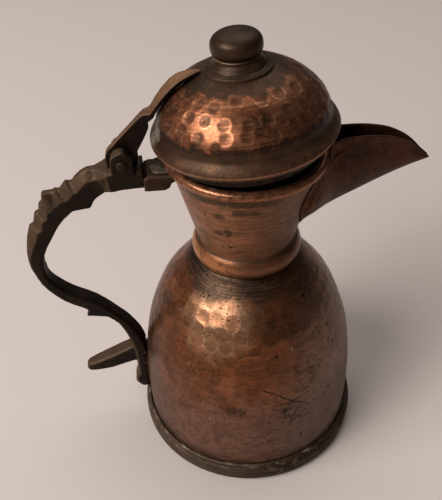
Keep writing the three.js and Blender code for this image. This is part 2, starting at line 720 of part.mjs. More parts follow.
function lidWire() {
  return turned(arc(LID_EDGE_R - LID_ROLL_R, LID_EDGE_Z + LID_ROLL_R, LID_WIRE_R, 0, 300, 5));
}

// Height of the seat ring's foot: it clears the rim by the seat gap once the lid stands ajar.
function seatFootZ() {
  const rimTop = RIM_Z + RIM_ROLL_R + SEAT_GAP;
  const reach = -SEAT_RING_R - HINGE_X;
  return HINGE_Z + (rimTop - HINGE_Z - reach * Math.sin(LID_AJAR)) / Math.cos(LID_AJAR);
}

function lidSeatRing() {
  const foot = seatFootZ();
  const top = SEAT_RING_TOP_Z;
  return turned([
    [SEAT_RING_R - SHEET, foot],
    [SEAT_RING_R, foot],
    [SEAT_RING_R, top - 5],
    [LID_DOME_R - SHEET - SEAT_GAP, top],
    [LID_DOME_R - 2 * SHEET - SEAT_GAP, top],
    [SEAT_RING_R - SHEET, top - 4.4],
  ]);
}

function crownCollar() {
  const under = (r) => lidOutsideZ(r) + SEAT_GAP + FACET_GAP;
  const hole = KNOB_STEM_R + RUN_GAP;
  return turned([
    [hole, under(hole)],
    [8, under(8)],
    [13, under(13)],
    [CROWN_R - 0.4, under(CROWN_R)],
    [CROWN_R, under(CROWN_R) + 0.5],
    [CROWN_R - 0.5, under(CROWN_R) + CROWN_LIP + 0.3],
    [CROWN_R - 2.2, under(CROWN_R) + CROWN_LIP + 0.9],
    [CROWN_NECK_R + 3.4, CROWN_TOP_Z - 3.4],
    [CROWN_NECK_R + 0.9, CROWN_TOP_Z - 2.0],
    [CROWN_NECK_R, CROWN_TOP_Z],
    [hole, CROWN_TOP_Z],
  ], 28);
}

function knob() {
  const seat = CROWN_TOP_Z + SEAT_GAP;
  const washerTop = LID_TOP_Z - SHEET - SEAT_GAP;
  const headTop = washerTop - WASHER_THICK - SEAT_GAP;
  const crown = [];
  for (let i = 0; i <= 7; i += 1) {
    const a = (Math.PI / 2) * (i / 7);
    const flat = Math.sin(a) ** 0.8;
    crown.push([i === 7 ? 0 : KNOB_R * Math.cos(a) ** 0.72, KNOB_Z + KNOB_RISE * flat]);
  }
  return turned([
    [0, headTop - STEM_HEAD_H],
    [STEM_HEAD_R - 0.8, headTop - STEM_HEAD_H],
    [STEM_HEAD_R, headTop - 0.4],
    [STEM_HEAD_R, headTop],
    [KNOB_STEM_R, headTop],
    [KNOB_STEM_R, seat],
    [CROWN_NECK_R - 0.6, seat],
    [KNOB_R - 1.4, KNOB_Z - KNOB_DROP + 0.9],
    [KNOB_R - 0.2, KNOB_Z - 1.6],
    ...crown,
  ], 28);
}

function knobWasher() {
  const top = LID_TOP_Z - SHEET - SEAT_GAP - 0.1;
  const bottom = top - WASHER_THICK + 0.1;
  const hole = KNOB_STEM_R + RUN_GAP;
  return turned([[hole, bottom], [WASHER_R, bottom], [WASHER_R, top - 0.3], [hole, top]], FINE_STEPS);
}

// Strap: a cupped leaf on the dome that closes up into an upright tongue at the hinge. Its rows run
// along its upper edge: [x, z, half width, depth, rise of the leaf's edges over its middle]
const STRAP_THICK = 1.4;
const LEAF_MID = 0.4; // half the width of the low line along the leaf's middle

function strapRings() {
  const tip = -CROWN_R - 1.2;
  const onDome = (x) => lidOutsideZ(-x) + SEAT_GAP + STRAP_THICK + FACET_GAP;
  const leafRow = (out, half, depth, cup) => [tip - out, onDome(tip - out), half, depth, cup];
  const lift = onDome(tip - 13.2); // the leaf leaves the dome here
  const tongueRow = (x, z, half, depth) => [HINGE_X + x, HINGE_Z + z, half, depth, 0];
  const rows = [
    leafRow(0, 1.1, 1.1, 0),
    leafRow(2.2, 2.4, 1.3, 0.8),
    leafRow(5.9, 4, STRAP_THICK, 1.7),
    leafRow(9.7, 5.1, STRAP_THICK, 2.4),
    leafRow(13.2, 5.7, STRAP_THICK, 2.6),
    [tip - 17.7, lift - 3.6, 5.8, 1.5, 2.3],
    [tip - 22.2, lift - 7.4, 5.3, 2, 1.6],
    [tip - 26.2, lift - 10.8, 4.4, 3.2, 0.7],
    tongueRow(14.7, 22.9, 3.3, 5.2),
    tongueRow(11.5, 20.6, 2.5, 7.4),
    tongueRow(7.9, 17.5, 2.15, 9.2),
    tongueRow(3.7, 14, TONGUE_HALF, 10.8),
    tongueRow(-0.7, 10.2, TONGUE_HALF, 12.2),
    tongueRow(-TONGUE_R * Math.SQRT1_2, TONGUE_R * Math.SQRT1_2, TONGUE_HALF, 12),
  ];
  return rows.map(([x, z, half, depth, cup], i) => {
    const before = rows[Math.max(i - 1, 0)];
    const after = rows[Math.min(i + 1, rows.length - 1)];
    const dx = after[0] - before[0];
    const dz = after[1] - before[1];
    const length = Math.hypot(dx, dz);
    const nx = -dz / length;
    const nz = dx / length;
    const bevel = Math.min(0.45, half * 0.3);
    const right = [
      [0, LEAF_MID],
      [-cup, half - bevel],
      [bevel - cup, half],
      [depth - bevel - cup, half],
      [depth - cup, half - bevel],
      [depth, LEAF_MID],
    ];
    const place = ([d, y], sign) => [x + nx * d, sign * y, z + nz * d];
    return [...right.map((q) => place(q, 1)), ...right.slice().reverse().map((q) => place(q, -1))];
  });
}

function lidStrap() {
  const blank = solid(loft(strapRings()))
    .add(hingeRound(TONGUE_R, -TONGUE_HALF, TONGUE_HALF, 32))
    .subtract(hingeRound(PIN_R + PIN_WEAR + RUN_GAP, -EAR_HALF, EAR_HALF, 20))
    .subtract(lidSpace(SEAT_GAP));
  return surface(blank);
}

// Finishes
const copper = { color: 0x8a4f31, roughness: 0.42, metalness: 0.9 };
const darkCopper = { color: 0x5f3a28, roughness: 0.5, metalness: 0.85 };
const bronze = { color: 0x4a3a28, roughness: 0.55, metalness: 0.8 };
const tin = { color: 0x8b8880, roughness: 0.5, metalness: 0.7 };

function piece(name, geometry, finish) {
  const mesh = new THREE.Mesh(geometry, new THREE.MeshStandardMaterial(finish));
  mesh.name = name;
  geometry.computeVertexNormals();
  return mesh;
}

const jug = new THREE.Group();
jug.add(
  piece('base_plate', basePlate(), copper),
  piece('base_solder', baseSolder(), tin),
  piece('foot_ring', footRing(), bronze),
  piece('body_shell', bodyShell(), copper),
  piece('neck', neckShell(), copper),
  piece('neck_solder', neckSolder(), tin),
  piece('rim_wire', rimWire(), copper),
  piece('spout', spout(), darkCopper),
  piece('spout_solder', spoutSolder(), tin),
  piece('handle', handle(), bronze),
  piece('handle_bracket', bracket(), bronze),
  piece('bracket_solder', bracketSolder(), tin),
  piece('tail_braze', tailBraze(), copper),
  piece('hinge_pin', hingePin(), bronze),
);

// The lid turns about the hinge axis, so its pieces hang in a group that pivots there.
const lidPivot = new THREE.Group();
lidPivot.position.set(HINGE_X, 0, HINGE_Z);
lidPivot.rotation.y = -LID_AJAR;
const lid = new THREE.Group();
lid.position.set(-HINGE_X, 0, -HINGE_Z);
lid.add(
  piece('lid_dome', lidDome(), copper),
  piece('lid_wire', lidWire(), copper),
  piece('lid_seat_ring', lidSeatRing(), copper),
  piece('lid_strap', lidStrap(), bronze),
  piece('crown_collar', crownCollar(), darkCopper),
  piece('knob', knob(), bronze),
  piece('knob_washer', knobWasher(), copper),
);
lidPivot.add(lid);
jug.add(lidPivot);

export default jug;
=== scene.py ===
import math
import bpy
import bmesh
import numpy as np
from mathutils import Matrix, Vector


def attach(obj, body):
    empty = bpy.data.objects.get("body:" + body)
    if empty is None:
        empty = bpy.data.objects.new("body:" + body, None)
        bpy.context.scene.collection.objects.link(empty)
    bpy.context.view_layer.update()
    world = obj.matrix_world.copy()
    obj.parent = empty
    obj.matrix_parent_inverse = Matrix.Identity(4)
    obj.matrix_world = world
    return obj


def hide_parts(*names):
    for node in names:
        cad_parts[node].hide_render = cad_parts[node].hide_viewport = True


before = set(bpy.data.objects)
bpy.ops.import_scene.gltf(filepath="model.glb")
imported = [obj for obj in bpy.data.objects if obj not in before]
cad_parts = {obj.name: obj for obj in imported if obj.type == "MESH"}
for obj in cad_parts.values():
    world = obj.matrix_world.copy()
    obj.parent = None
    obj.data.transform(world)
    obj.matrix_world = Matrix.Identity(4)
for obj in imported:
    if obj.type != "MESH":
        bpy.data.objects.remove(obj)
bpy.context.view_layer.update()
MM = 0.001
WELD = 1e-6

# Sizes in mm, and the resting lid's angle in radians
SHEET = 1.0
HALF_SHEET = SHEET / 2
SPOUT_SHEET = 0.9
HINGE_X, HINGE_Z = -62.3, 194.7
LID_AJAR = 0.081
NECK_R, CONE_R, CONE_TOP_R = 26.4, 39.1, 38.2
COLLAR_R, COLLAR_EDGE_R = 30.3, 28.2
COLLAR_MID_Z, COLLAR_HALF = 135.7, 5.4


# Curves and meshes
def blend(t, start, end, a, b):
    """From a, where t is start, to b, where t is end."""
    return (end - t) / (end - start) * a + (t - start) / (end - start) * b


def smooth(points, count):
    """Even points on a centripetal Catmull-Rom curve through the given points."""
    steps_per_span = 24
    p = np.array(points, float)
    p = np.vstack([2 * p[0] - p[1], p, 2 * p[-1] - p[-2]])
    out = []
    for i in range(1, len(p) - 2):
        p0, p1, p2, p3 = p[i - 1:i + 3]
        t0 = 0.0
        t1 = t0 + np.linalg.norm(p1 - p0) ** 0.5
        t2 = t1 + np.linalg.norm(p2 - p1) ** 0.5
        t3 = t2 + np.linalg.norm(p3 - p2) ** 0.5
        for t in np.linspace(t1, t2, steps_per_span, endpoint=False):
            middle = blend(t, t1, t2, p1, p2)
            before = blend(t, t0, t2, blend(t, t0, t1, p0, p1), middle)
            after = blend(t, t1, t3, middle, blend(t, t2, t3, p2, p3))
            out.append(blend(t, t1, t2, before, after))
    out.append(p[-2])
    return even(np.array(out), count)


def even(line, count):
    """count + 1 points at even distances along a line."""
    line = np.array(line, float)
    step = np.r_[0, np.cumsum(np.linalg.norm(np.diff(line, axis=0), axis=1))]
    s = np.linspace(0, step[-1], count + 1)
    return np.stack([np.interp(s, step, line[:, k]) for k in range(line.shape[1])], 1)


def normals(line):
    """Unit normals of a 2-D line, to the right of its direction of travel."""
    d = np.gradient(np.array(line, float), axis=0)
    d /= np.maximum(np.linalg.norm(d, axis=1, keepdims=True), 1e-9)
    return np.stack([d[:, 1], -d[:, 0]], 1)


def arc(cx, cy, radius, start, end, steps):
    a = np.radians(np.linspace(start, end, steps + 1))
    return np.stack([cx + radius * np.cos(a), cy + radius * np.sin(a)], 1)


def edit(mesh, change):
    """Makes one bmesh change to a mesh."""
    bm = bmesh.new()
    bm.from_mesh(mesh)
    change(bm)
    bm.to_mesh(mesh)
    bm.free()


def weld(bm):
    bmesh.ops.remove_doubles(bm, verts=bm.verts, dist=WELD)


def thicken(obj, thickness, offset):
    wall = obj.modifiers.new("wall", "SOLIDIFY")
    wall.thickness = thickness * MM
    wall.offset = offset


def mesh_object(name, verts_mm, faces, material, body, matrix=None, attributes=None):
    mesh = bpy.data.meshes.new(name)
    verts = (np.asarray(verts_mm, float) * MM).tolist()
    mesh.from_pydata(verts, [], [list(map(int, f)) for f in faces])
    mesh.validate()
    for key, values in (attributes or {}).items():
        layer = mesh.attributes.new(key, "FLOAT", "POINT")
        layer.data.foreach_set("value", np.asarray(values, np.float32))
    return finish_object(name, mesh, material, body, matrix)


def finish_object(name, mesh, material, body, matrix=None):
    edit(mesh, lambda bm: bmesh.ops.recalc_face_normals(bm, faces=bm.faces))
    mesh.polygons.foreach_set("use_smooth", [True] * len(mesh.polygons))
    obj = bpy.data.objects.new(name, mesh)
    bpy.context.scene.collection.objects.link(obj)
    if matrix is not None:
        obj.matrix_world = matrix
    obj.data.materials.append(material)
    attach(obj, body)
    return obj


def turned(name, profile, segments, material, body, matrix=None, lift=None, closed=True):
    """Turned form from (r, z) points in mm. lift(angle, index, r, z) moves each vertex along the
    profile's outward side and gives attributes. A profile that isn't closed is welded."""
    profile = np.array(profile, float)
    n = len(profile)
    angle = np.linspace(0, math.tau, segments, endpoint=False)
    a, i = (grid.ravel() for grid in np.meshgrid(angle, np.arange(n), indexing="ij"))
    r, z = profile[i].T
    attributes = {}
    if lift:
        shift, attributes = lift(a, i, r, z)
        r_way, z_way = normals(profile)[i].T
        r, z = r + r_way * shift, z + z_way * shift
    verts = np.stack([r * np.cos(a), r * np.sin(a), z], 1)
    ids = np.arange(segments * n).reshape(segments, n)
    nxt = np.roll(ids, -1, axis=0)
    j = np.arange(n if closed else n - 1)
    k = (j + 1) % n
    faces = np.stack([ids[:, j], nxt[:, j], nxt[:, k], ids[:, k]], -1).reshape(-1, 4)
    obj = mesh_object(name, verts, faces, material, body, matrix, attributes)
    if not closed:
        edit(obj.data, weld)
    return obj


def hashed(seed, count, columns):
    return np.random.default_rng(seed).random((count, columns))


def marks_round(rows, seed, sway, rise):
    """Centres (angle, height) of hammer marks, from rows of (height, count, turn)."""
    centres = []
    for k, (row, count, turn) in enumerate(rows):
        j = hashed(seed + k, count, 2) - 0.5
        angle = (np.arange(count) + turn + sway * j[:, 0]) * math.tau / count
        centres.append(np.stack([angle % math.tau, row + rise * j[:, 1]], 1))
    return np.vstack(centres)


def nearest(points, centres):
    """Distance to the nearest and second nearest centre, and the nearest one's number. The points
    are (angle, height, radius) and the centres (angle, height)."""
    at_once = 20000
    best = np.full(len(points), 1e9)
    second = np.full(len(points), 1e9)
    index = np.zeros(len(points), int)
    for start in range(0, len(points), at_once):
        part = slice(start, start + at_once)
        p = points[part]
        dx = np.abs(p[:, None, 0] - centres[None, :, 0])
        dx = np.minimum(dx, math.tau - dx) * p[:, None, 2]
        dy = p[:, None, 1] - centres[None, :, 1]
        d = np.hypot(dx, dy)
        order = np.argpartition(d, 1, axis=1)[:, :2]
        pair = np.take_along_axis(d, order, 1)
        swap = pair[:, 0] > pair[:, 1]
        order[swap] = order[swap][:, ::-1]
        pair[swap] = pair[swap][:, ::-1]
        best[part] = pair[:, 0]
        second[part] = pair[:, 1]
        index[part] = order[:, 0]
    return best, second, index


# Materials. Lengths are in mm, and colours are 8-bit display colours.
BLACK = (20, 14, 11)
DARK = (50, 34, 24)
MOTTLE_AT = (3, 71, 13)

# Heights between which a finish changes or a band of it lies
HAMMERED_Z = (60, 120)
DUSTY_Z = (80, 42)
SHOULDER_BAND_Z = (114.5, 122)
DIMPLED_Z = (213, 229.9)
FRINGE_Z = (211.2, 214.2)
ROLLED_EDGE_Z = (206.4, 204.2)
COLLAR_Z = (141.8, 140.8)
RIM_Z = (189, 190)
FOOT_BEAD_Z = (9.5, 12)
SPARED_Z = (88, 122)

# How sharp a point of the surface is, by Blender's Pointiness: 0.5 is flat
WORN_EDGE = 0.535
HOLLOW = (0.465, 0.41)

# Single pits on the right of the body's front and on the shoulder: x, y, z, radius
PLACED_PITS = (
    (38.2, -34.1, 101.6, 1.3), (41, -34.1, 96.8, 1.2), (43.9, -34.7, 90.2, 1.2),
    (44.3, -36.8, 85.5, 1.4), (35.5, -39.8, 96.8, 1.3), (34, -38.7, 100.8, 0.9),
    (38.1, -39.4, 93.2, 0.9), (41.4, -38, 89.2, 0.9), (48, -35.2, 79.1, 1.2),
    (50.2, -34.1, 73.3, 1.5), (49, -34.9, 75.6, 1.1), (43.2, -41.4, 77.7, 1.1),
    (27.2, -30, 117, 1.9), (38.8, -11.2, 117, 1.8), (37.1, -9.6, 119.2, 1.4),
    (38.2, -13.6, 116.2, 1.3), (34.7, -19.8, 117.7, 1.2), (9.3, -53.4, 95.1, 1.3),
    (40.4, 2.3, 117.1, 1.2),
)

# Olive stains on the front of the neck: centre, radius, squash
NECK_STAINS = (
    ((-7.4, -35.8, 180.3), 6, 2.2), ((-17.3, -31, 176.5), 3.6, 1.4),
    ((-1, -36.5, 180), 4.5, 2.4), ((-17.3, -26.9, 163), 2.7, 1),
    ((-12.7, -29.8, 164.5), 3.2, 1),
)


def rgba(colour):
    """Linear value of a colour with parts above 10. One that is a socket stays as it is."""
    if not isinstance(colour, tuple):
        return colour
    return (*(((part / 255 + 0.055) / 1.055) ** 2.4 for part in colour), 1)


class Nodes:
    """Short calls for building a material's node tree, and the colour that it has so far."""

    def __init__(self, name, colour=None):
        self.colour = colour
        self.mat = bpy.data.materials.new(name)
        self.mat.use_nodes = True
        self.tree = self.mat.node_tree
        self.tree.nodes.clear()
        self.bsdf = self.new("BsdfPrincipled")
        self.new("OutputMaterial", {"Surface": self.bsdf.outputs[0]})
        coords = self.new("TexCoord")
        self.xyz = self.vmath("SCALE", coords.outputs["Object"], scale=1 / MM)
        self.normal = coords.outputs["Normal"]

    def new(self, kind, values=None, **settings):
        """A node with its settings, and the values or links of its inputs."""
        node = self.tree.nodes.new("ShaderNode" + kind)
        for key, value in settings.items():
            setattr(node, key, value)
        self.fill(node, values or {})
        return node

    def fill(self, node, values):
        for key, value in values.items():
            if isinstance(value, bpy.types.NodeSocket):
                self.tree.links.new(value, node.inputs[key])
            else:
                node.inputs[key].default_value = value

    def vmath(self, op, a, b=None, scale=None):
        values = {0: a, 1: b, "Scale": scale}
        values = {key: value for key, value in values.items() if value is not None}
        node = self.new("VectorMath", values, operation=op)
        return node.outputs["Value" if op in ("LENGTH", "DOT_PRODUCT") else 0]

    def math(self, op, first, *others, clamp=False):
        """A sum, product or the like of the values, from the left."""
        for other in others:
            first = self.new("Math", {0: first, 1: other}, operation=op, use_clamp=clamp).outputs[0]
        return first

    def times(self, *values):
        return self.math("MULTIPLY", *values)

    def plus(self, *values):
        return self.math("ADD", *values)

    def minus(self, a, b):
        return self.math("SUBTRACT", a, b)

    def most(self, *values):
        """The highest of several masks."""
        return self.math("MAXIMUM", *values)

    def ramp(self, value, low, high, a=0, b=1, kind="SMOOTHSTEP"):
        """a up to a value of low, b from high, and a smooth step between."""
        values = {"Value": value, "From Min": low, "From Max": high, "To Min": a, "To Max": b}
        return self.new("MapRange", values, interpolation_type=kind).outputs["Result"]

    def straight(self, mask, a, b):
        """a where a mask is 0 and b where it is 1, in a straight line."""
        return self.ramp(mask, 0, 1, a, b, "LINEAR")

    def vary(self, noise, a, b):
        """A straight line from a to b over the usual range of a noise."""
        return self.ramp(noise, 0.3, 0.7, a, b, "LINEAR")

    def noise(self, scale, detail, rough, vector=None, stretch=None, offset=None):
        """Noise whose feature size is 1 / scale mm."""
        vector = self.xyz if vector is None else vector
        if stretch:
            vector = self.vmath("MULTIPLY", vector, stretch)
        if offset:
            vector = self.vmath("ADD", vector, offset)
        values = {"Vector": vector, "Scale": scale, "Detail": detail, "Roughness": rough}
        return self.new("TexNoise", values).outputs["Fac"]

    def shaken(self, scale, reach):
        """The place on the surface, moved by a noise, so that lines waver and rounds get uneven."""
        noise = self.new("TexNoise", {"Vector": self.xyz, "Scale": scale, "Detail": 2})
        away = self.vmath("SUBTRACT", noise.outputs["Color"], (0.5, 0.5, 0.5))
        return self.vmath("ADD", self.xyz, self.vmath("SCALE", away, scale=reach))

    def attribute(self, name):
        return self.new("Attribute", attribute_name=name).outputs["Fac"]

    def axis(self, name):
        return self.new("SeparateXYZ", {0: self.xyz}).outputs[name]

    def mix(self, factor, a, b):
        values = {0: factor, 6: rgba(a), 7: rgba(b)}
        return self.new("Mix", values, data_type="RGBA", clamp_factor=True).outputs[2]

    def over(self, base, colour, *masks):
        """A colour laid over the base by the product of its masks."""
        return self.mix(self.times(*masks), base, colour)

    def lay(self, colour, *masks):
        """The same, on the material's own colour."""
        self.colour = self.over(self.colour, colour, *masks)

    def side(self, azimuth, start, full):
        """0 to 1 as a surface point lies further towards an azimuth, from start to full mm."""
        a = math.radians(azimuth)
        way = (math.cos(a), math.sin(a), 0)
        return self.ramp(self.vmath("DOT_PRODUCT", self.xyz, way), start, full)

    def band(self, value, low, high, soft):
        """1 between two values, with soft edges."""
        return self.times(
            self.ramp(value, low - soft, low + soft), self.ramp(value, high + soft, high - soft))

    def spot(self, centre, radius, ragged, scale, squash=1):
        """1 inside a patch round a point, with an uneven edge."""
        away = self.vmath("SUBTRACT", self.xyz, centre)
        distance = self.vmath("LENGTH", self.vmath("MULTIPLY", away, (1, 1, squash)))
        distance = self.plus(distance, self.vary(self.noise(scale, 4, 0.6), -ragged, ragged))
        return self.ramp(distance, radius, radius * 0.55)

    def turning(self, per_mm, detail=4, drift=0.02):
        """Lines that run round the Z axis: nearly the same all the way round."""
        radius = self.vmath("LENGTH", self.vmath("MULTIPLY", self.xyz, (1, 1, 0)))
        level = self.new("CombineXYZ", {0: radius, 1: self.axis("Z")}).outputs[0]
        wander = self.vmath("MULTIPLY", self.xyz, (drift, drift, 0))
        return self.noise(per_mm, detail, 0.7, vector=self.vmath("ADD", level, wander))

    def pits(self, per_mm, size, where, squash=1):
        """Small pits of many sizes in the places where a mask is high."""
        vector = self.vmath("MULTIPLY", self.xyz, (1, 1, squash))
        cells = self.new("TexVoronoi", {"Vector": vector, "Scale": per_mm})
        chance = self.new("SeparateColor", {0: cells.outputs["Color"]}).outputs[0]
        reach = self.ramp(chance, 0.35, 1, 0, size, "LINEAR")
        depth = self.minus(cells.outputs["Distance"], reach)
        return self.times(self.ramp(depth, 0, -0.25 * size), where)

    def scratch(self, start, end, width, sway=4):
        """One wavering scratch on the front, between two (x, z) points."""
        run = Vector((end[0] - start[0], 0, end[1] - start[1]))
        flat = self.vmath("MULTIPLY", self.shaken(0.11, sway), (1, 0, 1))
        rel = self.vmath("SUBTRACT", flat, (start[0], 0, start[1]))
        share = self.vmath("DOT_PRODUCT", rel, tuple(run))
        share = self.math("DIVIDE", share, run.length_squared, clamp=True)
        along = self.vmath("SCALE", tuple(run), scale=share)
        away = self.vmath("LENGTH", self.vmath("SUBTRACT", rel, along))
        return self.times(self.ramp(away, width, width * 0.3), self.side(-90, 10, 20))

    def bumps(self, *layers):
        """The normal after layers of (height, strength, depth in mm), one upon the other."""
        below = {}
        for height, strength, depth in layers:
            values = {"Strength": strength, "Distance": depth * MM, "Height": height, **below}
            below = {"Normal": self.new("Bump", values).outputs["Normal"]}
        return below["Normal"]

    def finish(self, roughness, metallic, specular, normal=None):
        values = {"Base Color": rgba(self.colour), "Roughness": roughness, "Metallic": metallic,
                  "Specular IOR Level": specular}
        self.fill(self.bsdf, {**values, **({"Normal": normal} if normal else {})})
        return self.mat


def body_metal():
    """Hammered copper: reddish brown above, matte and dusty near the foot, with painted grey
    reflections down both sides and a painted highlight on the shoulder.
    """
    n = Nodes("body_metal")
    z = n.axis("Z")
    broad = n.noise(0.022, 3, 0.5, offset=(12, 3, 5))
    cloud = n.noise(0.07, 6, 0.65, offset=(31, 7, 3))
    mottle = n.noise(0.22, 5, 0.65, offset=MOTTLE_AT)
    fine = n.noise(0.7, 5, 0.65)
    grit = n.noise(2.4, 3, 0.7)
    lines = n.turning(1.15, 5, 0.05)
    streak = n.noise(1, 4, 0.6, stretch=(0.1, 0.1, 1))
    dent = n.attribute("dent")
    tone = n.attribute("tone")
    hammered = n.band(z, *HAMMERED_Z, 10)
    dusty = n.ramp(n.plus(z, n.vary(cloud, -16, 16)), *DUSTY_Z)
    right = n.side(-24, 29, 50)
    n.colour = n.mix(n.ramp(broad, 0.38, 0.6), (146, 84, 52), (120, 70, 43))
    n.lay((86, 56, 37), n.ramp(cloud, 0.46, 0.66, 0, 0.8))
    n.lay((90, 56, 34), n.ramp(mottle, 0.47, 0.66, 0, 0.66))
    n.lay((92, 58, 36), n.ramp(tone, 0.35, 1), hammered, 0.54)
    n.lay((178, 112, 74), n.ramp(tone, 0.3, 0), hammered, 0.3)
    n.lay((124, 88, 73), dusty, 0.88)
    n.lay((94, 63, 48), dusty, n.ramp(mottle, 0.44, 0.6, 0, 0.72))
    # painted reflections: greyer on the right side, and a darker grey on the left
    n.lay((112, 93, 79), right, 0.75)
    n.lay((84, 66, 52), n.side(178, 40, 62), 0.5)
    # dark blotches of old patina on the shoulder
    blotch = n.ramp(n.noise(0.1, 5, 0.65, offset=(8, 2, 90)), 0.5, 0.6)
    n.lay((70, 50, 36), n.band(z, 90, 122, 8), blotch, 0.14)
    # ridges between the hammer marks: a painted highlight, pale on the upper left of the shoulder
    # where the ridges glint brightly, with faint painted glints on the ridges in patches elsewhere
    patchy = n.ramp(n.noise(0.05, 3, 0.5, offset=(9, 44, 2)), 0.44, 0.6)
    lit = n.spot((-21, -39, 111), 27, 4, 0.1)
    n.lay((212, 164, 126), lit, 0.3)
    painted_light = n.times(n.ramp(dent, 0.78, 0.97), n.ramp(fine, 0.38, 0.6),
                     n.ramp(mottle, 0.4, 0.58, 0.25, 1), hammered)
    n.lay((226, 176, 138), painted_light, n.most(n.times(patchy, 0.16), n.times(lit, 0.7)))
    # turned and soldered band under the collar: it reaches lower beside the front than straight in
    # front and behind, and is weaker on the right
    beside = n.math("ABSOLUTE", n.minus(n.side(-88, 4, 40), 0.55), 0)
    level = n.plus(z, n.ramp(beside, 0.2, 0.5, 0, -5), n.vary(cloud, -3, 3))
    top = n.ramp(level, *SHOULDER_BAND_Z)
    top = n.times(top, n.straight(n.side(-30, 14, 34), 1, 0.62))
    n.lay((50, 42, 32), top, 0.9)
    n.lay(BLACK, n.ramp(lines, 0.5, 0.6), top, 0.85)
    n.lay((106, 92, 74), n.ramp(lines, 0.43, 0.36), top, 0.4)
    # brush lines, dark and pale
    n.lay(DARK, n.ramp(streak, 0.52, 0.68, 0, 0.27))
    n.lay((190, 132, 98), n.ramp(streak, 0.46, 0.34, 0, 0.13), n.ramp(dusty, 1, 0, 0.3, 1))
    # painted shade and dark braze round the handle's tail, where it meets the body, and a dark line
    # above the foot
    n.lay((34, 25, 19), n.spot((-64.4, 0, 41), 12.5, 2, 0.3, 0.48),
          n.ramp(fine, 0.3, 0.5, 0.6, 1), 0.8)
    n.lay((52, 40, 30), n.band(z, 10, 19, 4), n.ramp(streak, 0.4, 0.56, 0.15, 0.7))
    # pits, thick under the collar and down the right side, and a scatter elsewhere
    under_collar = n.times(n.ramp(z, 102, 114), n.ramp(z, 131, 127))
    down_right = n.times(n.side(-40, 44, 56), n.ramp(cloud, 0.38, 0.48))
    some = n.ramp(n.noise(0.05, 2, 0.5, offset=(3, 60, 20)), 0.42, 0.54)
    others = n.ramp(n.noise(0.05, 3, 0.5, offset=(70, 6, 2)), 0.4, 0.52)
    holes = n.most(
        n.pits(0.34, 0.36, under_collar, 3.4),
        n.pits(0.24, 0.27, down_right, 0.8),
        n.pits(0.22, 0.12, some),
        n.times(n.pits(0.6, 0.4, others), 0.8),
        n.pits(0.7, 0.3, n.times(right, 0.8)),
    )
    uneven = n.shaken(0.8, 4.5)
    for *centre, reach in PLACED_PITS:
        distance = n.vmath("LENGTH", n.vmath("SUBTRACT", uneven, centre))
        holes = n.most(holes, n.ramp(distance, reach, reach * 0.4))
    # scratched patch on the front, with dark rubbed patches round it
    cuts = n.most(
        n.scratch((2, 76), (28, 57), 0.42),
        n.scratch((12, 63), (29, 66), 0.36),
        n.scratch((16, 53), (30, 46), 0.4, 8),
        n.scratch((16, 47), (25, 58), 0.36, 8),
        n.scratch((36, 52), (44, 60), 0.36),
        n.spot((14, -61, 58), 2.3, 0.8, 0.9),
        n.spot((19, -60, 63), 1.8, 0.6, 0.9),
    )
    stain = n.times(n.spot((26, -54, 77), 12, 5, 0.25), n.ramp(mottle, 0.4, 0.58, 0.1, 0.8))
    smudge = n.times(n.spot((-13.6, -61, 59.6), 8, 3.5, 0.4, 1.8), n.ramp(fine, 0.4, 0.52))
    worked = n.times(n.spot((17, -59, 55), 12, 4, 0.3), n.ramp(mottle, 0.44, 0.58, 0, 0.8))
    n.lay((58, 44, 30), n.most(stain, smudge, worked), 0.8)
    holes = n.most(holes, cuts)
    n.lay(BLACK, holes, 0.92)
    n.lay((178, 150, 126), n.pits(0.11, 0.1, n.ramp(z, 110, 100)), 0.7)
    n.lay((60, 40, 30), n.ramp(fine, 0.35, 0.75, 0, 0.35))
    n.lay(BLACK, n.ramp(grit, 0.5, 0.8, 0, 0.3))
    rough = n.plus(n.straight(dusty, 0.31, 0.54), n.ramp(cloud, 0.35, 0.7, -0.02, 0.1),
                   n.vary(fine, -0.05, 0.06), n.times(top, 0.12))
    normal = n.bumps((lines, 0.25, 0.16), (streak, 0.25, 0.14), (fine, 0.3, 0.18),
                     (holes, 0.8, -0.3), (grit, 0.2, 0.08))
    return n.finish(rough, n.straight(dusty, 0.8, 0.5), 0.2, normal)


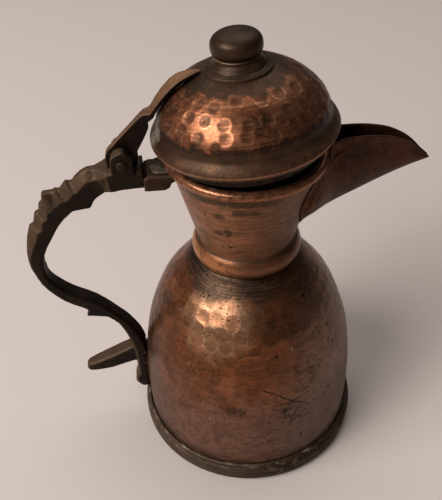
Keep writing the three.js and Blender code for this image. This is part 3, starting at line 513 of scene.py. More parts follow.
def lid_metal():
    """Lid: olive brown at the top and in the necking, dimpled copper between, a worn edge, painted
    shade on the right and under the rolled edge, and a painted shadow under the strap's tip.
    """
    n = Nodes("lid_metal")
    z = n.axis("Z")
    cloud = n.noise(0.08, 5, 0.6, offset=(14, 27, 3))
    mottle = n.noise(0.24, 5, 0.65, offset=MOTTLE_AT)
    fine = n.noise(0.7, 5, 0.65, offset=(2, 8, 4))
    grit = n.noise(2.4, 3, 0.7)
    ragged = n.noise(0.16, 3, 0.5, offset=(6, 1, 9))
    lines = n.turning(0.9, 5, 0.04)
    level = n.plus(z, n.vary(ragged, -1.6, 1.6))
    dome = n.band(level, *DIMPLED_Z, 0.9)
    right = n.side(-25, 4, 36)
    n.colour = n.mix(n.ramp(cloud, 0.38, 0.62), (160, 98, 66), (126, 76, 50))
    n.lay((98, 62, 42), n.ramp(mottle, 0.48, 0.66, 0, 0.6))
    # painted shade: the right side of the lid darker
    n.lay((96, 62, 44), right, 0.66)
    n.lay((76, 48, 32), n.side(165, 24, 40), 0.6)
    # dimples: dull dark floors, and rims that are rubbed bright in places
    dent = n.attribute("dent")
    floors = n.times(n.ramp(dent, 0.5, 0.33), n.ramp(mottle, 0.36, 0.58, 0.45, 0.85))
    n.lay((84, 54, 38), floors)
    n.lay((206, 146, 108), n.ramp(dent, 0.41, 0.5), n.ramp(dent, 0.6, 0.51),
          n.ramp(mottle, 0.52, 0.4), 0.42)
    # pale turned lines, fainter on the right as painted shade
    n.lay((206, 142, 104), n.ramp(lines, 0.52, 0.59), n.ramp(mottle, 0.6, 0.44),
          n.straight(right, 1, 0.45), 0.55)
    n.lay((84, 54, 38), n.ramp(lines, 0.44, 0.36, 0, 0.35))
    # olive brown turned parts above and below the dimples
    plain_part = n.mix(n.ramp(cloud, 0.36, 0.66), (76, 53, 35), (55, 38, 24))
    plain_part = n.over(plain_part, (88, 58, 42), n.ramp(mottle, 0.5, 0.66, 0, 0.6))
    plain_part = n.over(plain_part, (50, 27, 17), n.side(170, 18, 36), n.ramp(z, 216, 212), 0.7)
    n.colour = n.mix(dome, plain_part, n.colour)
    n.lay((38, 26, 18), n.band(level, *FRINGE_Z, 0.8), n.ramp(fine, 0.35, 0.55, 0.25, 0.85))
    n.lay((36, 25, 18), n.ramp(lines, 0.54, 0.64), n.ramp(dome, 0, 1, 0.55, 0.1))
    # rolled edge, worn along its crest
    rolled = n.mix(n.ramp(mottle, 0.44, 0.6), (100, 66, 46), (70, 48, 34))
    n.lay(rolled, n.ramp(level, *ROLLED_EDGE_Z), 0.8)
    n.lay((186, 134, 98), n.band(z, 201.6, 202.8, 0.4), n.ramp(fine, 0.34, 0.5), 0.55)
    # painted shade under the rolled edge
    n.lay((40, 27, 20), n.ramp(z, 200.2, 199.4))
    # pale solder run on the left of the brim, a dark smear, a painted shadow under the strap's tip,
    # and a few pits
    tin = n.spot((-44, -3.5, 208.6), 10.5, 2.5, 0.35, 0.8)
    n.lay(n.mix(n.ramp(mottle, 0.42, 0.6), (122, 110, 96), (92, 78, 65)), tin)
    smear = n.times(n.spot((4, -35, 222.5), 6.5, 3, 0.4), n.ramp(mottle, 0.38, 0.58, 0.15, 0.9))
    leaf_shadow = n.times(n.spot((-19, -7, 229.5), 8.5, 3, 0.5), n.ramp(fine, 0.36, 0.5))
    n.lay((44, 32, 22), n.most(smear, leaf_shadow), 0.8)
    few = n.pits(0.26, 0.18, n.ramp(n.noise(0.07, 2, 0.5, offset=(13, 6, 2)), 0.46, 0.6))
    n.lay(BLACK, few, 0.85)
    n.lay((60, 42, 30), n.ramp(fine, 0.35, 0.75, 0, 0.32))
    n.lay(BLACK, n.ramp(grit, 0.5, 0.8, 0, 0.25))
    rough = n.plus(n.straight(dome, 0.46, 0.31), n.vary(fine, -0.05, 0.07))
    rough = n.plus(rough, n.plus(n.times(floors, 0.1), n.times(tin, 0.12)))
    metallic = n.minus(n.straight(dome, 0.55, 0.78), n.times(tin, 0.35))
    normal = n.bumps((lines, 0.32, 0.2), (mottle, 0.15, 0.3), (fine, 0.28, 0.16),
                     (few, 0.8, -0.25), (grit, 0.2, 0.08))
    return n.finish(rough, metallic, 0.2, normal)


def neck_metal():
    """Neck: brushed reddish brown with olive stains, an orange worn rim, a collar with a painted
    highlight on its left and painted shade in its creases, and a painted grey reflection on the
    right.
    """
    n = Nodes("neck_metal")
    z = n.axis("Z")
    cloud = n.noise(0.07, 5, 0.6, offset=(5, 17, 33))
    mottle = n.noise(0.24, 5, 0.65, offset=MOTTLE_AT)
    fine = n.noise(0.8, 5, 0.65)
    grit = n.noise(2.4, 3, 0.7)
    lines = n.turning(0.8, 5, 0.05)
    streak = n.noise(0.9, 5, 0.65, stretch=(0.09, 0.09, 1.1))
    n.colour = n.mix(n.ramp(cloud, 0.36, 0.62), (164, 108, 78), (136, 92, 64))
    n.lay((112, 74, 50), n.ramp(mottle, 0.5, 0.68, 0, 0.5))
    # painted grey reflection on the right side
    n.lay((88, 68, 50), n.side(-38, 6, 32), 0.65)
    n.lay((84, 62, 41), n.ramp(streak, 0.48, 0.62, 0, 0.66))
    n.lay((70, 49, 33), n.ramp(lines, 0.52, 0.64, 0, 0.46))
    n.lay((176, 120, 86), n.ramp(streak, 0.44, 0.34, 0, 0.45))
    # olive under the rim on the left, and stains on the front
    level = n.plus(z, n.ramp(streak, 0.3, 0.7, -1.5, 1.5))
    marks = n.times(n.band(level, 184.2, 188.4, 1.2), n.side(-118, 18, 34))
    for centre, radius, squash in NECK_STAINS:
        marks = n.most(marks, n.spot(centre, radius, 1.3, 0.5, squash))
    n.lay((60, 46, 28), marks, n.ramp(fine, 0.3, 0.5, 0.4, 1), 0.88)
    # collar with a painted highlight on its left and painted shade on its right, painted shade in
    # the crease above it and under its lower edge, and the rim
    collar_mask = n.ramp(z, *COLLAR_Z)
    lit_collar = n.mix(n.side(-55, 6, 24), (186, 120, 76), (112, 70, 48))
    lit_collar = n.over(lit_collar, (92, 56, 36), n.ramp(mottle, 0.48, 0.62, 0, 0.6))
    n.lay(lit_collar, collar_mask, 0.75)
    n.lay(DARK, n.band(z, 141, 142.6, 0.5), 0.6)
    n.lay((44, 34, 26), n.ramp(z, 132.6, 130.8), 0.85)
    rim = n.ramp(z, *RIM_Z)
    worn = n.noise(0.5, 4, 0.65, stretch=(0.6, 0.6, 1.2))
    bead = n.mix(n.ramp(worn, 0.44, 0.6), (150, 98, 70), (92, 58, 40))
    bead = n.over(bead, (150, 98, 72), n.side(-30, 10, 38), 0.5)
    n.lay(bead, rim)
    few = n.pits(0.26, 0.24, n.ramp(n.noise(0.07, 2, 0.5, offset=(3, 60, 20)), 0.44, 0.56))
    n.lay(BLACK, few, 0.85)
    n.lay((60, 42, 30), n.ramp(fine, 0.38, 0.72, 0, 0.3))
    n.lay(BLACK, n.ramp(grit, 0.5, 0.8, 0, 0.25))
    rough = n.plus(n.ramp(cloud, 0.35, 0.7, 0.4, 0.48), n.vary(fine, -0.05, 0.07))
    rough = n.minus(rough, n.times(n.most(collar_mask, rim), 0.14))
    normal = n.bumps((lines, 0.34, 0.2), (streak, 0.3, 0.2), (fine, 0.22, 0.16), (few, 0.8, -0.25))
    return n.finish(rough, 0.6, 0.2, normal)


def spout_metal():
    """Spout: dark reddish brown, with a rough orange and olive zone where it was brazed on."""
    n = Nodes("spout_metal")
    cloud = n.noise(0.09, 5, 0.6)
    mottle = n.noise(0.3, 5, 0.65)
    fine = n.noise(0.9, 5, 0.65)
    grit = n.noise(2.2, 3, 0.7)
    streak = n.noise(0.6, 4, 0.7, stretch=(1, 1, 0.45), offset=(4, 4, 4))
    n.colour = n.mix(n.ramp(cloud, 0.36, 0.64), (74, 43, 30), (52, 31, 22))
    n.lay((84, 54, 40), n.ramp(mottle, 0.48, 0.64, 0, 0.5))
    root = n.ramp(n.plus(n.axis("X"), n.vary(fine, -4, 4)), 50, 40)
    heat = n.mix(n.ramp(streak, 0.48, 0.6), (76, 45, 28), (118, 71, 41))
    heat = n.over(heat, (82, 68, 38), n.ramp(n.axis("Z"), 170, 158),
                  n.ramp(streak, 0.42, 0.58, 0.2, 0.7))
    n.lay(heat, root, 0.8)
    n.lay(BLACK, n.ramp(grit, 0.5, 0.8, 0, 0.35))
    rough = n.plus(n.straight(root, 0.42, 0.58), n.vary(fine, -0.06, 0.08))
    normal = n.bumps((fine, 0.35, 0.2), (n.times(streak, root), 0.5, 0.5), (grit, 0.25, 0.1))
    return n.finish(rough, 0.55, 0.2, normal)


def inner_metal():
    """Tarnished copper that only shows inside."""
    n = Nodes("inner_metal")
    fine = n.noise(0.9, 4, 0.6)
    n.colour = n.mix(n.ramp(n.noise(0.1, 5, 0.6), 0.36, 0.64), (56, 40, 30), (34, 25, 19))
    return n.finish(n.vary(fine, 0.5, 0.66), 0.6, 0.2, n.bumps((fine, 0.3, 0.15)))


def solder_metal():
    """Lumpy solder, bright and dull by turns."""
    n = Nodes("tin_solder")
    cloud = n.noise(0.25, 5, 0.65)
    fine = n.noise(1.4, 4, 0.6)
    n.colour = n.mix(n.ramp(cloud, 0.4, 0.6), (96, 82, 66), DARK)
    n.lay((132, 120, 102), n.ramp(fine, 0.55, 0.75, 0, 0.35))
    lumps = n.bumps((n.plus(n.times(cloud, 2), fine), 0.6, 0.3))
    return n.finish(n.vary(fine, 0.46, 0.7), 0.7, 0.3, lumps)


def dark_metal(name, low, high, edge, rough, pit, metallic=0.5, filed=0, lines=0,
               worn_at=WORN_EDGE, painted_light=None, light_way=(-0.85, 0, 0.53), spare=None, scuff=0):
    """Cast or turned metal under a dark patina, paler on worn edges, with a paler colour painted as
    light on the side that faces the lamps, apart from the heights between the two values of spare."""
    n = Nodes(name)
    cloud = n.noise(0.11, 5, 0.6)
    mottle = n.noise(0.35, 5, 0.65, offset=(5, 2, 8))
    fine = n.noise(0.8, 4, 0.6)
    grit = n.noise(2.6, 3, 0.7)
    n.colour = n.mix(n.ramp(cloud, 0.35, 0.68), low, high)
    if painted_light:
        # painted light: the paler colour is laid where the surface faces the lamps
        way = n.plus(n.vmath("DOT_PRODUCT", n.normal, light_way), n.vary(mottle, -0.07, 0.07))
        way = n.ramp(way, 0.12, 0.62)
        if spare:
            z = n.axis("Z")
            below, above = n.ramp(z, spare[0], spare[0] - 8), n.ramp(z, spare[1], spare[1] + 25)
            way = n.times(way, n.most(below, above))
        n.lay(painted_light, way)
    n.lay(low, n.ramp(mottle, 0.46, 0.66, 0, 0.25 if painted_light else 0.45))
    point = n.plus(n.new("NewGeometry").outputs["Pointiness"], n.vary(fine, -0.02, 0.02))
    n.lay(edge, n.ramp(point, worn_at, worn_at + 0.06), 0.65)
    n.lay(BLACK, n.ramp(point, *HOLLOW, 0, 0.32))
    n.lay(BLACK, n.ramp(grit, 0.45, 0.85, 0, 0.5))
    layers = [(n.plus(n.times(fine, 0.6), n.times(grit, 0.4 * pit)), 0.5, 0.25)]
    if filed:
        layers.append((n.noise(1, 4, 0.7, stretch=(0.25, 3, 0.25)), 0.3 * filed, 0.15))
    if scuff:
        bare = n.noise(0.5, 5, 0.7, stretch=(0.35, 0.35, 1.2), offset=(1, 9, 4))
        patches = n.ramp(n.noise(0.035, 3, 0.5, offset=(9, 1, 6)), 0.42, 0.56, 0.35, 1)
        patches = n.times(patches, n.side(-125, -25, 25),
                          n.ramp(n.axis("Z"), *FOOT_BEAD_Z, 0.55, 1))
        n.lay((138, 122, 104), n.ramp(bare, 0.52, 0.62), patches, scuff)
    if lines:
        rings = n.turning(0.9)
        n.lay(BLACK, n.ramp(rings, 0.52, 0.62, 0, 0.5 * lines))
        n.lay(edge, n.ramp(rings, 0.44, 0.36, 0, 0.3 * lines))
        layers.append((rings, 0.4 * lines, 0.2))
    return n.finish(n.plus(n.vary(fine, -0.08, 0.1), rough), metallic, 0.15, n.bumps(*layers))


copper_body = body_metal()
copper_lid = lid_metal()
copper_neck = neck_metal()
copper_inner = inner_metal()
spout_copper = spout_metal()
tin_solder = solder_metal()
# the foot ring, handle, bracket and strap have a paler colour painted on their sides that face the
# lamps
foot_metal = dark_metal(
    "foot_metal", (42, 28, 18), (60, 42, 28), (110, 88, 68), 0.58, 0.7, 0.35, lines=0.8,
    painted_light=(76, 60, 46), light_way=(-0.9, -0.3, 0.3), scuff=0.7)
cast_metal = dark_metal(
    "cast_metal", (30, 21, 15), (44, 31, 22), (108, 86, 64), 0.54, 0.9, filed=0.5,
    painted_light=(84, 64, 47), spare=SPARED_Z)
block_metal = dark_metal(
    "block_metal", (38, 26, 18), (62, 43, 30), (104, 78, 56), 0.54, 0.9, filed=0.3,
    painted_light=(72, 52, 37), light_way=(0, -0.3, 0.95))
knob_metal = dark_metal(
    "knob_metal", (50, 35, 23), (65, 47, 32), (104, 80, 60), 0.4, 0.3, lines=0.3)
crown_metal = dark_metal(
    "crown_metal", (52, 37, 25), (72, 52, 37), (150, 120, 92), 0.44, 0.4, lines=0.9, worn_at=0.52)
strap_metal = dark_metal(
    "strap_metal", (27, 18, 13), (40, 27, 19), (150, 116, 86), 0.56, 0.6, filed=0.3,
    painted_light=(112, 80, 58), light_way=(-0.35, 0, 0.94))
pin_metal = dark_metal("pin_metal", (42, 30, 22), (58, 43, 33), (76, 58, 44), 0.54, 0.5)

# Body
FACET_WIDTH, FACET_ROW, FACET_DEPTH, FACET_TILT = 7.8, 6.3, 0.19, 0.085
bell = [(64.4, 34), (63.2, 56), (59.2, 80), (50.1, 104), (43.2, 114), (35.2, 122.5), (30.4, 126.8),
        (27.4, 129), (26.2, 131)]
body_line = np.vstack([
    even([(64.2, 1.6), (64.4, 34)], 24)[:-1], smooth(bell, 130), [[26.2, 136.6]],
])


def body_lift(angle, index, radius, z):
    """Hammer marks: overlapping shallow facets, deep on the shoulder and faint near the foot."""
    rows = []
    for k, row in enumerate(np.arange(18, 124, FACET_ROW)):
        row_radius = np.interp(row, body_line[:, 1], body_line[:, 0])
        rows.append((row, int(math.tau * row_radius / FACET_WIDTH), 0.5 * (k % 2)))
    centres = marks_round(rows, 100, 0.45, 2.6)
    d1, d2, idx = nearest(np.stack([angle, z, radius], 1), centres)
    depth = 0.5 + 0.5 * hashed(7, len(centres), 1)[idx, 0]
    edge = np.clip(d1 / np.maximum((d1 + d2) / 2, 1e-6), 0, 1)
    strength = np.interp(z, [8, 30, 60, 88, 112, 118, 123], [0.05, 0.12, 0.42, 1, 1, 0.6, 0])
    shift = -(1 - edge ** 2) * FACET_DEPTH * depth * strength
    shift *= np.interp(z, [80, 90, 112, 118], [1, 1.35, 1.35, 1])
    turn = (hashed(8, len(centres), 2) - 0.5)[idx] * FACET_TILT
    across = angle - centres[idx, 0]
    across = (across - math.tau * np.round(across / math.tau)) * radius
    tilt = turn[:, 0] * across + turn[:, 1] * (z - centres[idx, 1])
    shift += tilt * strength * (1 - edge ** 6)
    tone = hashed(9, len(centres), 1)[idx, 0]
    wobble = 0.1 * np.sin(3 * angle + 0.05 * z) + 0.06 * np.sin(7 * angle + 2 + 0.09 * z)
    shift += wobble * np.interp(z, [0, 20, 110, 125], [0, 1, 1, 0])
    dent = np.where(strength > 0.02, 1 - (1 - edge) * np.clip(strength * 1.2, 0, 1), 1.0)
    return shift * (index < len(body_line)), {"dent": dent, "tone": tone}


body_inside = body_line - normals(body_line) * SHEET
body_profile = np.vstack([body_line, body_inside[::-1]])
body = turned("jug_body", body_profile, 336, copper_body, "jug", lift=body_lift)
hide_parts("body_shell")

# Foot ring
foot = np.vstack([
    [[64.7, 0.0], [66.2, 0.0]],
    smooth([(66.9, 0.5), (67.8, 2.2), (68.1, 5.0), (68.0, 7.8), (67.5, 9.6), (66.7, 10.6),
            (66.55, 11.1), (66.7, 11.6), (66.35, 12.4), (65.2, 12.9)], 34),
    [[64.75, 12.7]],
])
foot_ring = turned("foot_ring_band", foot, 256, foot_metal, "jug")
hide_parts("foot_ring")

# Neck, one sheet with a pour opening
OPENING_LOW_Z, OPENING_HIGH_Z = 153.5, 185.5
OPENING_MID_Z, OPENING_HALF_HEIGHT, OPENING_HALF_WIDTH = 170, 17, 17.5
collar = [(COLLAR_R + (COLLAR_EDGE_R - COLLAR_R) * t * t - HALF_SHEET,
           COLLAR_MID_Z + COLLAR_HALF * t) for t in np.linspace(-1, 1, 25)]
cone = even([
    (NECK_R - HALF_SHEET, 142.4), (NECK_R + (CONE_R - NECK_R) * 0.5 - HALF_SHEET, 165.8),
    (CONE_TOP_R, 188.0),
], 46)
roll = arc(39.4, 192, 2.15, 226, -48, 20)
neck_line = np.vstack([collar, cone, roll])


def neck_lift(angle, index, radius, z):
    """A slight unevenness of the cone."""
    soft = 0.12 * np.sin(2 * angle + 0.6) + 0.07 * np.sin(5 * angle + 0.03 * z)
    return soft * np.interp(z, [140, 150, 186, 190], [0, 1, 1, 0]), {}


def in_pour_opening(face):
    x, y, z = face.calc_center_median() / MM
    if x < 0 or not OPENING_LOW_Z <= z <= OPENING_HIGH_Z:
        return False
    angle = math.acos((OPENING_MID_Z - z) / OPENING_HALF_HEIGHT)
    return abs(y) < OPENING_HALF_WIDTH * math.sin(angle)


neck = turned("neck_cone", neck_line, 256, copper_neck, "jug", lift=neck_lift,
              closed=False)
edit(neck.data, lambda bm: bmesh.ops.delete(
    bm, geom=[face for face in bm.faces if in_pour_opening(face)], context="FACES"))
thicken(neck, SHEET, 0)
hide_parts("neck")

# Spout, one bent sheet
STATIONS = np.array([
    # x, keel, edge, belly, mouth, round
    [28, 148.6, 195.0, 24.4, 22.0, 1.35],
    [34, 151.4, 197.0, 21.8, 19.0, 1.4],
    [39, 153.6, 198.2, 16.6, 14.0, 1.45],
    [44, 156.4, 199.0, 11.8, 9.0, 1.55],
    [50, 159.8, 199.7, 9.4, 7.2, 1.7],
    [58, 164.2, 199.9, 8.3, 6.6, 1.85],
    [66, 168.6, 199.3, 7.4, 6.1, 2.0],
    [74, 172.6, 197.6, 6.6, 5.5, 2.0],
    [82, 176.2, 194.0, 5.6, 4.6, 2.0],
    [87, 178.2, 190.4, 4.6, 3.6, 2.0],
    [92, 179.8, 185.4, 3.0, 2.2, 2.0],
    [95.6, 180.8, 182.4, 1.5, 1.2, 2.0],
])
SPOUT_ACROSS, SPOUT_LENGTH = 44, 96
ROOT_GAP, ROOT_REACH = 0.3, 4


def root_radius(z):
    """Distance from the axis at which the spout's sheet begins: just outside the neck."""
    return np.interp(z, [142, 189.0, 190.2, 230], [26.7, 39.4, 42.2, 42.2]) + ROOT_GAP


def spout_grid():
    """Outside points of the spout from one edge down round the keel to the other."""
    dense = [smooth(np.stack([STATIONS[:, 0], STATIONS[:, k]], 1), 300) for k in range(1, 6)]
    grid = []
    for x in np.linspace(STATIONS[0, 0], STATIONS[-1, 0], SPOUT_LENGTH + 1):
        keel, edge, belly, mouth, rnd = [np.interp(x, line[:, 0], line[:, 1]) for line in dense]
        mid = (keel + edge) / 2
        half = []
        for t in np.linspace(0, 1, SPOUT_ACROSS // 4, endpoint=False):
            e = t * t * (3 - 2 * t)
            half.append((mouth + (belly - mouth) * e, edge + (mid - edge) * t))
        for q in np.linspace(0, math.pi / 2, SPOUT_ACROSS // 2):
            half.append((belly * max(math.cos(q), 0) ** (2 / rnd),
                         mid - (mid - keel) * math.sin(q) ** (2 / rnd)))
        half = even(half, SPOUT_ACROSS)
        grid.append([(x, y, z) for y, z in half] + [(x, -y, z) for y, z in half[-2::-1]])
    return np.array(grid)


# points inside the neck are pulled along the spout onto its wall, so the root follows the neck
grid = spout_grid()
for c in range(grid.shape[1]):
    col = grid[:, c].copy()
    dist = np.hypot(col[:, 0], col[:, 1]) - root_radius(col[:, 2])
    first = np.argmax(dist > 0)
    if first > 0:
        t = dist[first - 1] / (dist[first - 1] - dist[first])
        root = col[first - 1] + (col[first] - col[first - 1]) * t
        grid[:, c] = even(np.vstack([[root], col[first:]]), SPOUT_LENGTH)
    elif dist[0] < ROOT_REACH:
        x, y, z = col[0]
        share = root_radius(z) / math.hypot(x, y)
        grid[:, c] = even(np.vstack([[[x * share, y * share, z]], col]), SPOUT_LENGTH)
rows, cols = grid.shape[:2]
ids = np.arange(rows * cols).reshape(rows, cols)
faces = np.stack([ids[:-1, :-1], ids[1:, :-1], ids[1:, 1:], ids[:-1, 1:]], -1).reshape(-1, 4)
spout = mesh_object("spout_beak", grid.reshape(-1, 3), faces, spout_copper, "jug")
thicken(spout, SPOUT_SHEET, -1)
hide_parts("spout")


# Cast pieces, from the CAD solids
def vectors(mesh, key):
    """The places or normals of a mesh's vertices, one row each."""
    values = np.zeros(len(mesh.vertices) * 3)
    mesh.vertices.foreach_get(key, values)
    return values.reshape(-1, 3)


def move(mesh, places):
    mesh.vertices.foreach_set("co", places.ravel())
    mesh.update()


def softened(name, node, material, body, voxel, passes, rough_mm, seed, meet=None):
    """A copy of a CAD solid with its edges worn round, and a slightly uneven surface. meet is an x
    in mm: the flat face near it is drawn up to it, so that two brazed pieces close up."""
    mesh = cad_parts[node].data.copy()
    mesh.materials.clear()
    edit(mesh, weld)
    obj = bpy.data.objects.new(name, mesh)
    bpy.context.scene.collection.objects.link(obj)
    remesh = obj.modifiers.new("remesh", "REMESH")
    remesh.mode = "VOXEL"
    remesh.voxel_size = voxel * MM
    worn = obj.modifiers.new("worn", "SMOOTH")
    worn.iterations = passes
    worn.factor = 0.5
    bpy.context.view_layer.update()
    graph = bpy.context.evaluated_depsgraph_get()
    baked = bpy.data.meshes.new_from_object(obj.evaluated_get(graph))
    bpy.data.objects.remove(obj)
    bpy.data.meshes.remove(mesh)
    baked.name = name
    if meet is not None:
        co = vectors(baked, "co")
        near_face, above_z = 1.15, 170
        face = (np.abs(co[:, 0] / MM - meet) < near_face) & (co[:, 2] / MM > above_z)
        co[face, 0] = meet * MM
        move(baked, co)
    co, no = vectors(baked, "co"), vectors(baked, "normal")
    rng = np.random.default_rng(seed)
    height = np.zeros(len(co))
    longest, draws, phases = 9.0, 5, 6.28
    for wave in np.repeat([longest, 5.0, 2.6, 1.5], draws):
        d = rng.normal(size=3)
        d /= np.linalg.norm(d)
        waves = np.sin(co / MM @ d * 2 * math.pi / wave + rng.random() * phases)
        height += waves * wave / longest / draws
    move(baked, co + no * (height * rough_mm * MM)[:, None])
    return finish_object(name, baked, material, body)


handle = softened("cast_handle", "handle", cast_metal, "jug", 0.55, 3, 0.1, 1,
                  meet=HINGE_X + 9.6)
TAIL_LENGTH, TAIL_END_X, TAIL_INNER_X = 22, -75, -64.6
ON_BODY_R, ON_BODY_Z, ON_BODY_X = 64.45, 58, -66.3
SLOT_HALF, SLOT_NEAR, SLOT_CLEAR, SLOT_TOP_Z = 2.3, 4, 8.5, 189.5
low_z = min(v.co.z for v in handle.data.vertices) / MM
for vert in handle.data.vertices:
    x, y, z = vert.co / MM
    # the tail swells a little where it is brazed on
    if z < low_z + TAIL_LENGTH and x > TAIL_END_X:
        up = (z - low_z) / TAIL_LENGTH
        swell = math.sin(math.pi * min(1.0, up * 1.15 + 0.12)) ** 2
        outward = min(1.0, max(0.0, (TAIL_INNER_X - x) / 2.5))
        x, y = x - 2.6 * swell * outward, y * (1 + 0.28 * swell)
        vert.co = Vector((x, y, z)) * MM
    # its inner face lies on the body
    if z < ON_BODY_Z and x > ON_BODY_X:
        vert.co.x = -math.sqrt(ON_BODY_R ** 2 - y * y) * MM
    # the slot between the ears is cleared round the strap's knuckle
    reach = math.hypot(x - HINGE_X, z - HINGE_Z)
    in_slot = abs(y) < SLOT_HALF and SLOT_NEAR < reach < SLOT_CLEAR and z < SLOT_TOP_Z
    if in_slot and vert.normal.z > 0.35:
        vert.co.x = (HINGE_X + (x - HINGE_X) * SLOT_CLEAR / reach) * MM
        vert.co.z = (HINGE_Z + (z - HINGE_Z) * SLOT_CLEAR / reach) * MM
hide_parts("handle")
bracket = softened("bracket_block", "handle_bracket", block_metal, "jug", 0.5, 3,
                   0.1, 5, meet=HINGE_X + 9.75)
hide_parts("handle_bracket")
strap = softened("strap_leaf", "lid_strap", strap_metal, "lid", 0.4, 5, 0.05, 9)
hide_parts("lid_strap")

# Fillet along the spout's root: from the neck's wall in a hollow curve to the spout's outer face
FILLET_TOP_Z, FILLET_CENTRE_Z = 188.5, 190
FILLET_ON_WALL, FILLET_ON_SPOUT, FILLET_HOLLOW = 2.4, 3.0, 0.35
NECK_SLOPE = 0.27
RING_SIZE = 9
fillet = []
for c in range(cols):
    root, along = Vector(grid[0, c]), Vector(grid[3, c] - grid[0, c]).normalized()
    if root.z > FILLET_TOP_Z:
        continue
    away = along.cross(Vector(grid[2, c + 1] - grid[2, c - 1])).normalized()
    if away.dot(Vector((0, root.y, root.z - FILLET_CENTRE_Z))) < 0:
        away = -away
    radius = math.hypot(root.x, root.y)
    wall_out = Vector((root.x, root.y, -NECK_SLOPE * radius)).normalized()
    on_wall = (away - wall_out * away.dot(wall_out)).normalized()
    foot_at = root + on_wall * FILLET_ON_WALL - wall_out * 0.25
    end_at = root + along * FILLET_ON_SPOUT + away * 0.1
    middle = root + (on_wall + along) * FILLET_HOLLOW
    ring = [foot_at * ((1 - t) ** 2) + middle * (2 * t * (1 - t)) + end_at * (t * t)
            for t in np.linspace(0, 1, RING_SIZE - 2)]
    fillet.append(ring + [root + along * 1.5 - away * 0.35, root - away * 0.3 - wall_out * 0.2])
ids = np.arange(len(fillet) * RING_SIZE).reshape(len(fillet), RING_SIZE)
turn = np.roll(ids, -1, axis=1)
faces = [list(f) for f in np.stack([ids[:-1], ids[1:], turn[1:], turn[:-1]], -1).reshape(-1, 4)]
faces += [list(ids[0]), list(ids[-1][::-1])]
root_solder = mesh_object("root_solder", np.array(fillet).reshape(-1, 3), faces, spout_copper,
                          "jug")
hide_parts("spout_solder")
pad_solder = softened("pad_solder", "bracket_solder", tin_solder, "jug", 0.35, 4, 0.2, 13)
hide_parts("bracket_solder")

# Lid
DIMPLE_R, DIMPLE_DEPTH, DIMPLE_RIM = 3.3, 0.28, 0.05
DIMPLE_ROWS = [(228.3, 18, 0.05), (223.2, 23, 0.1), (218.2, 23, 0.02), (214.0, 25, 0.1)]
hinge = Vector((HINGE_X * MM, 0, HINGE_Z * MM))
tilt = Matrix.Translation(hinge) @ Matrix.Rotation(-LID_AJAR, 4, "Y") @ Matrix.Translation(-hinge)
brim = [(45.1, 200.9), (46.3, 202.4), (45.4, 204.5), (42.6, 207.9), (41.5, 213.0)]
rise = [(41.5 * math.cos(a) ** 0.8, 213 + 21.1 * math.sin(a) ** 1.52)
        for a in np.linspace(0.22, 1.541, 60)]
lid_line = np.vstack([arc(43.05, 200.75, 1.75, 130, 350, 16), smooth(brim, 30), even(rise, 62)])
lid_n = normals(lid_line)


def lid_lift(angle, index, radius, z):
    """Round hammer dimples in staggered rows on the dome."""
    slope = np.abs(lid_n[np.clip(index, 0, len(lid_n) - 1), 0])
    best = np.full(len(angle), 9.0)
    for c in marks_round(DIMPLE_ROWS, 300, 0.35, 1.3):
        dx = np.abs(angle - c[0])
        dx = np.minimum(dx, math.tau - dx) * radius
        dz = (z - c[1]) / np.clip(slope, 0.35, 1)
        best = np.minimum(best, np.hypot(dx, dz) / DIMPLE_R)
    ok = np.interp(z, [211.5, 213.2, 230, 231.5], [0, 1, 1, 0])
    shift = -np.clip(1 - best ** 2, 0, 1) * DIMPLE_DEPTH * ok
    shift += DIMPLE_RIM * np.exp(-((best - 1.12) / 0.16) ** 2) * ok
    dent = np.clip(np.where(ok > 0.1, best, 2.0) / 2, 0, 1)
    return shift * (index < len(lid_line)), {"dent": dent}


lid_profile = np.vstack([lid_line + lid_n * HALF_SHEET, (lid_line - lid_n * HALF_SHEET)[::-1]])
lid = turned("lid_shell", lid_profile, 320, copper_lid, "lid", matrix=tilt,
             lift=lid_lift)
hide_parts("lid_dome")

crown = np.vstack([
    [[2.6, 234.7], [8.0, 234.5], [13.0, 233.9], [16.2, 232.7]],
    smooth([(16.6, 233.0), (16.5, 233.9), (16.0, 234.5), (15.2, 234.6)], 8),
    smooth([(14.9, 234.3), (14.4, 234.7), (13.7, 235.0)], 5),
    smooth([(13.6, 234.8), (12.9, 235.9), (12.0, 237.0), (11.2, 238.3), (10.8, 239.6)], 16),
    [[2.6, 239.6]],
])
crown_obj = turned("crown_base", crown, 128, crown_metal, "lid", matrix=tilt)
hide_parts("crown_collar")

KNOB_R, KNOB_MID_Z, KNOB_RISE = 12.3, 244, 6.6
top = [(KNOB_R * max(math.cos(q), 0) ** 0.72, KNOB_MID_Z + KNOB_RISE * math.sin(q) ** 0.8)
       for q in np.linspace(0, math.pi / 2, 22)]
top[-1] = (0.0, KNOB_MID_Z + KNOB_RISE)
ball = np.vstack([
    [[0, 230.6], [2.4, 230.6], [3.2, 231], [3.4, 231.9], [2.2, 232], [2.2, 239.9], [9.8, 239.9]],
    smooth([(10.5, 240.0), (11.6, 240.8), (12.15, 242.2), (12.3, 243.9)], 12),
    top,
])
ball_obj = turned("knob_ball", ball, 112, knob_metal, "lid", matrix=tilt,
                  closed=False)
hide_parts("knob")

# Hinge pin, with the same head at both ends
cap = [(0.0, 10.9), (1.2, 10.85), (2.1, 10.5), (2.7, 9.9), (2.8, 9.45), (2.7, 9.3), (1.65, 9.3)]
pin_profile = [(r, -y) for r, y in cap] + cap[::-1]
spin = Matrix.Translation(hinge) @ Matrix.Rotation(math.pi / 2, 4, "X")
pin_obj = turned("pin_rivet", pin_profile, 40, pin_metal, "jug", matrix=spin,
                 closed=False)
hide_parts("hinge_pin")

# CAD nodes that stay
for node, material in {
    "base_plate": copper_inner, "base_solder": tin_solder, "neck_solder": tin_solder,
    "rim_wire": copper_neck, "tail_braze": spout_copper, "lid_wire": copper_lid,
    "lid_seat_ring": copper_inner, "knob_washer": pin_metal,
}.items():
    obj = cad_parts[node]
    for slot in obj.material_slots:
        slot.material = material

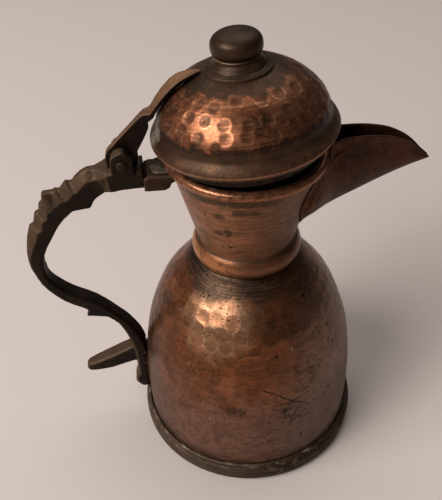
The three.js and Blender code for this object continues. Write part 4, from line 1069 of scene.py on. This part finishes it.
# Stage
FLOOR_HALF, FLOOR_Z = 3.0, -0.0002
corners = [(x * FLOOR_HALF, y * FLOOR_HALF, FLOOR_Z)
           for x, y in ((-1, -1), (1, -1), (1, 1), (-1, 1))]
floor_mesh = bpy.data.meshes.new("floor")
floor_mesh.from_pydata(corners, [], [(0, 1, 2, 3)])
floor = bpy.data.objects.new("floor", floor_mesh)
bpy.context.scene.collection.objects.link(floor)
floor.data.materials.append(Nodes("floor_plain", (204, 190, 182)).finish(0.7, 0, 0.3))

LIT_POINT = Vector((0, 0, 0.12))


def area_light(name, azimuth, elevation, distance, width, height, power):
    """A soft lamp in metres and watts, turned towards the middle of the jug."""
    data = bpy.data.lights.new(name, "AREA")
    data.shape = "RECTANGLE"
    data.size = width
    data.size_y = height
    data.energy = power
    obj = bpy.data.objects.new(name, data)
    a, e = math.radians(azimuth), math.radians(elevation)
    way = Vector((math.cos(a) * math.cos(e), math.sin(a) * math.cos(e), math.sin(e)))
    obj.location = LIT_POINT + way * distance
    obj.rotation_euler = way.to_track_quat("Z", "Y").to_euler()
    bpy.context.scene.collection.objects.link(obj)


area_light("window", -163, 44, 2.4, 1.2, 0.9, 35)
area_light("window_low", -144, 40, 2.4, 1.2, 0.8, 27)
area_light("fill", 80, 62, 2.8, 3.0, 2.4, 32)

WORLD_STRENGTH = 0.16
world = bpy.data.worlds.new("studio")
bpy.context.scene.world = world
world.use_nodes = True
background = world.node_tree.nodes["Background"]
background.inputs[0].default_value = rgba((190, 182, 176))
background.inputs[1].default_value = WORLD_STRENGTH

# Camera: angles in radians, and its place in mm before it goes round the jug by SPOUT_TURN
YAW, PITCH, ROLL = -0.0497, 0.7005, -0.0362
CAMERA_AT = Vector((0, -291.1, 372.9))
SPOUT_TURN = math.radians(7)
FOCAL_PX, FRAME_PX, SENSOR = 670.84, 500, 24
forward = Vector((
    math.sin(YAW) * math.cos(PITCH), math.cos(YAW) * math.cos(PITCH), -math.sin(PITCH)))
level_right = forward.cross(Vector((0, 0, 1))).normalized()
level_up = level_right.cross(forward)
right = math.cos(ROLL) * level_right + math.sin(ROLL) * level_up
up = -math.sin(ROLL) * level_right + math.cos(ROLL) * level_up
turn = Matrix.Rotation(-SPOUT_TURN, 3, "Z")
right, up, back, place = turn @ right, turn @ up, turn @ -forward, turn @ CAMERA_AT * MM
cam_data = bpy.data.cameras.new("camera")
cam_data.sensor_fit = "VERTICAL"
cam_data.sensor_height = SENSOR
cam_data.lens = SENSOR * FOCAL_PX / FRAME_PX
cam_data.clip_start = 0.01
cam = bpy.data.objects.new("camera", cam_data)
cam.matrix_world = Matrix([(right[k], up[k], back[k], place[k]) for k in range(3)] + [(0, 0, 0, 1)])
bpy.context.scene.collection.objects.link(cam)
bpy.context.scene.camera = cam

bpy.context.scene.view_settings.view_transform = "Standard"
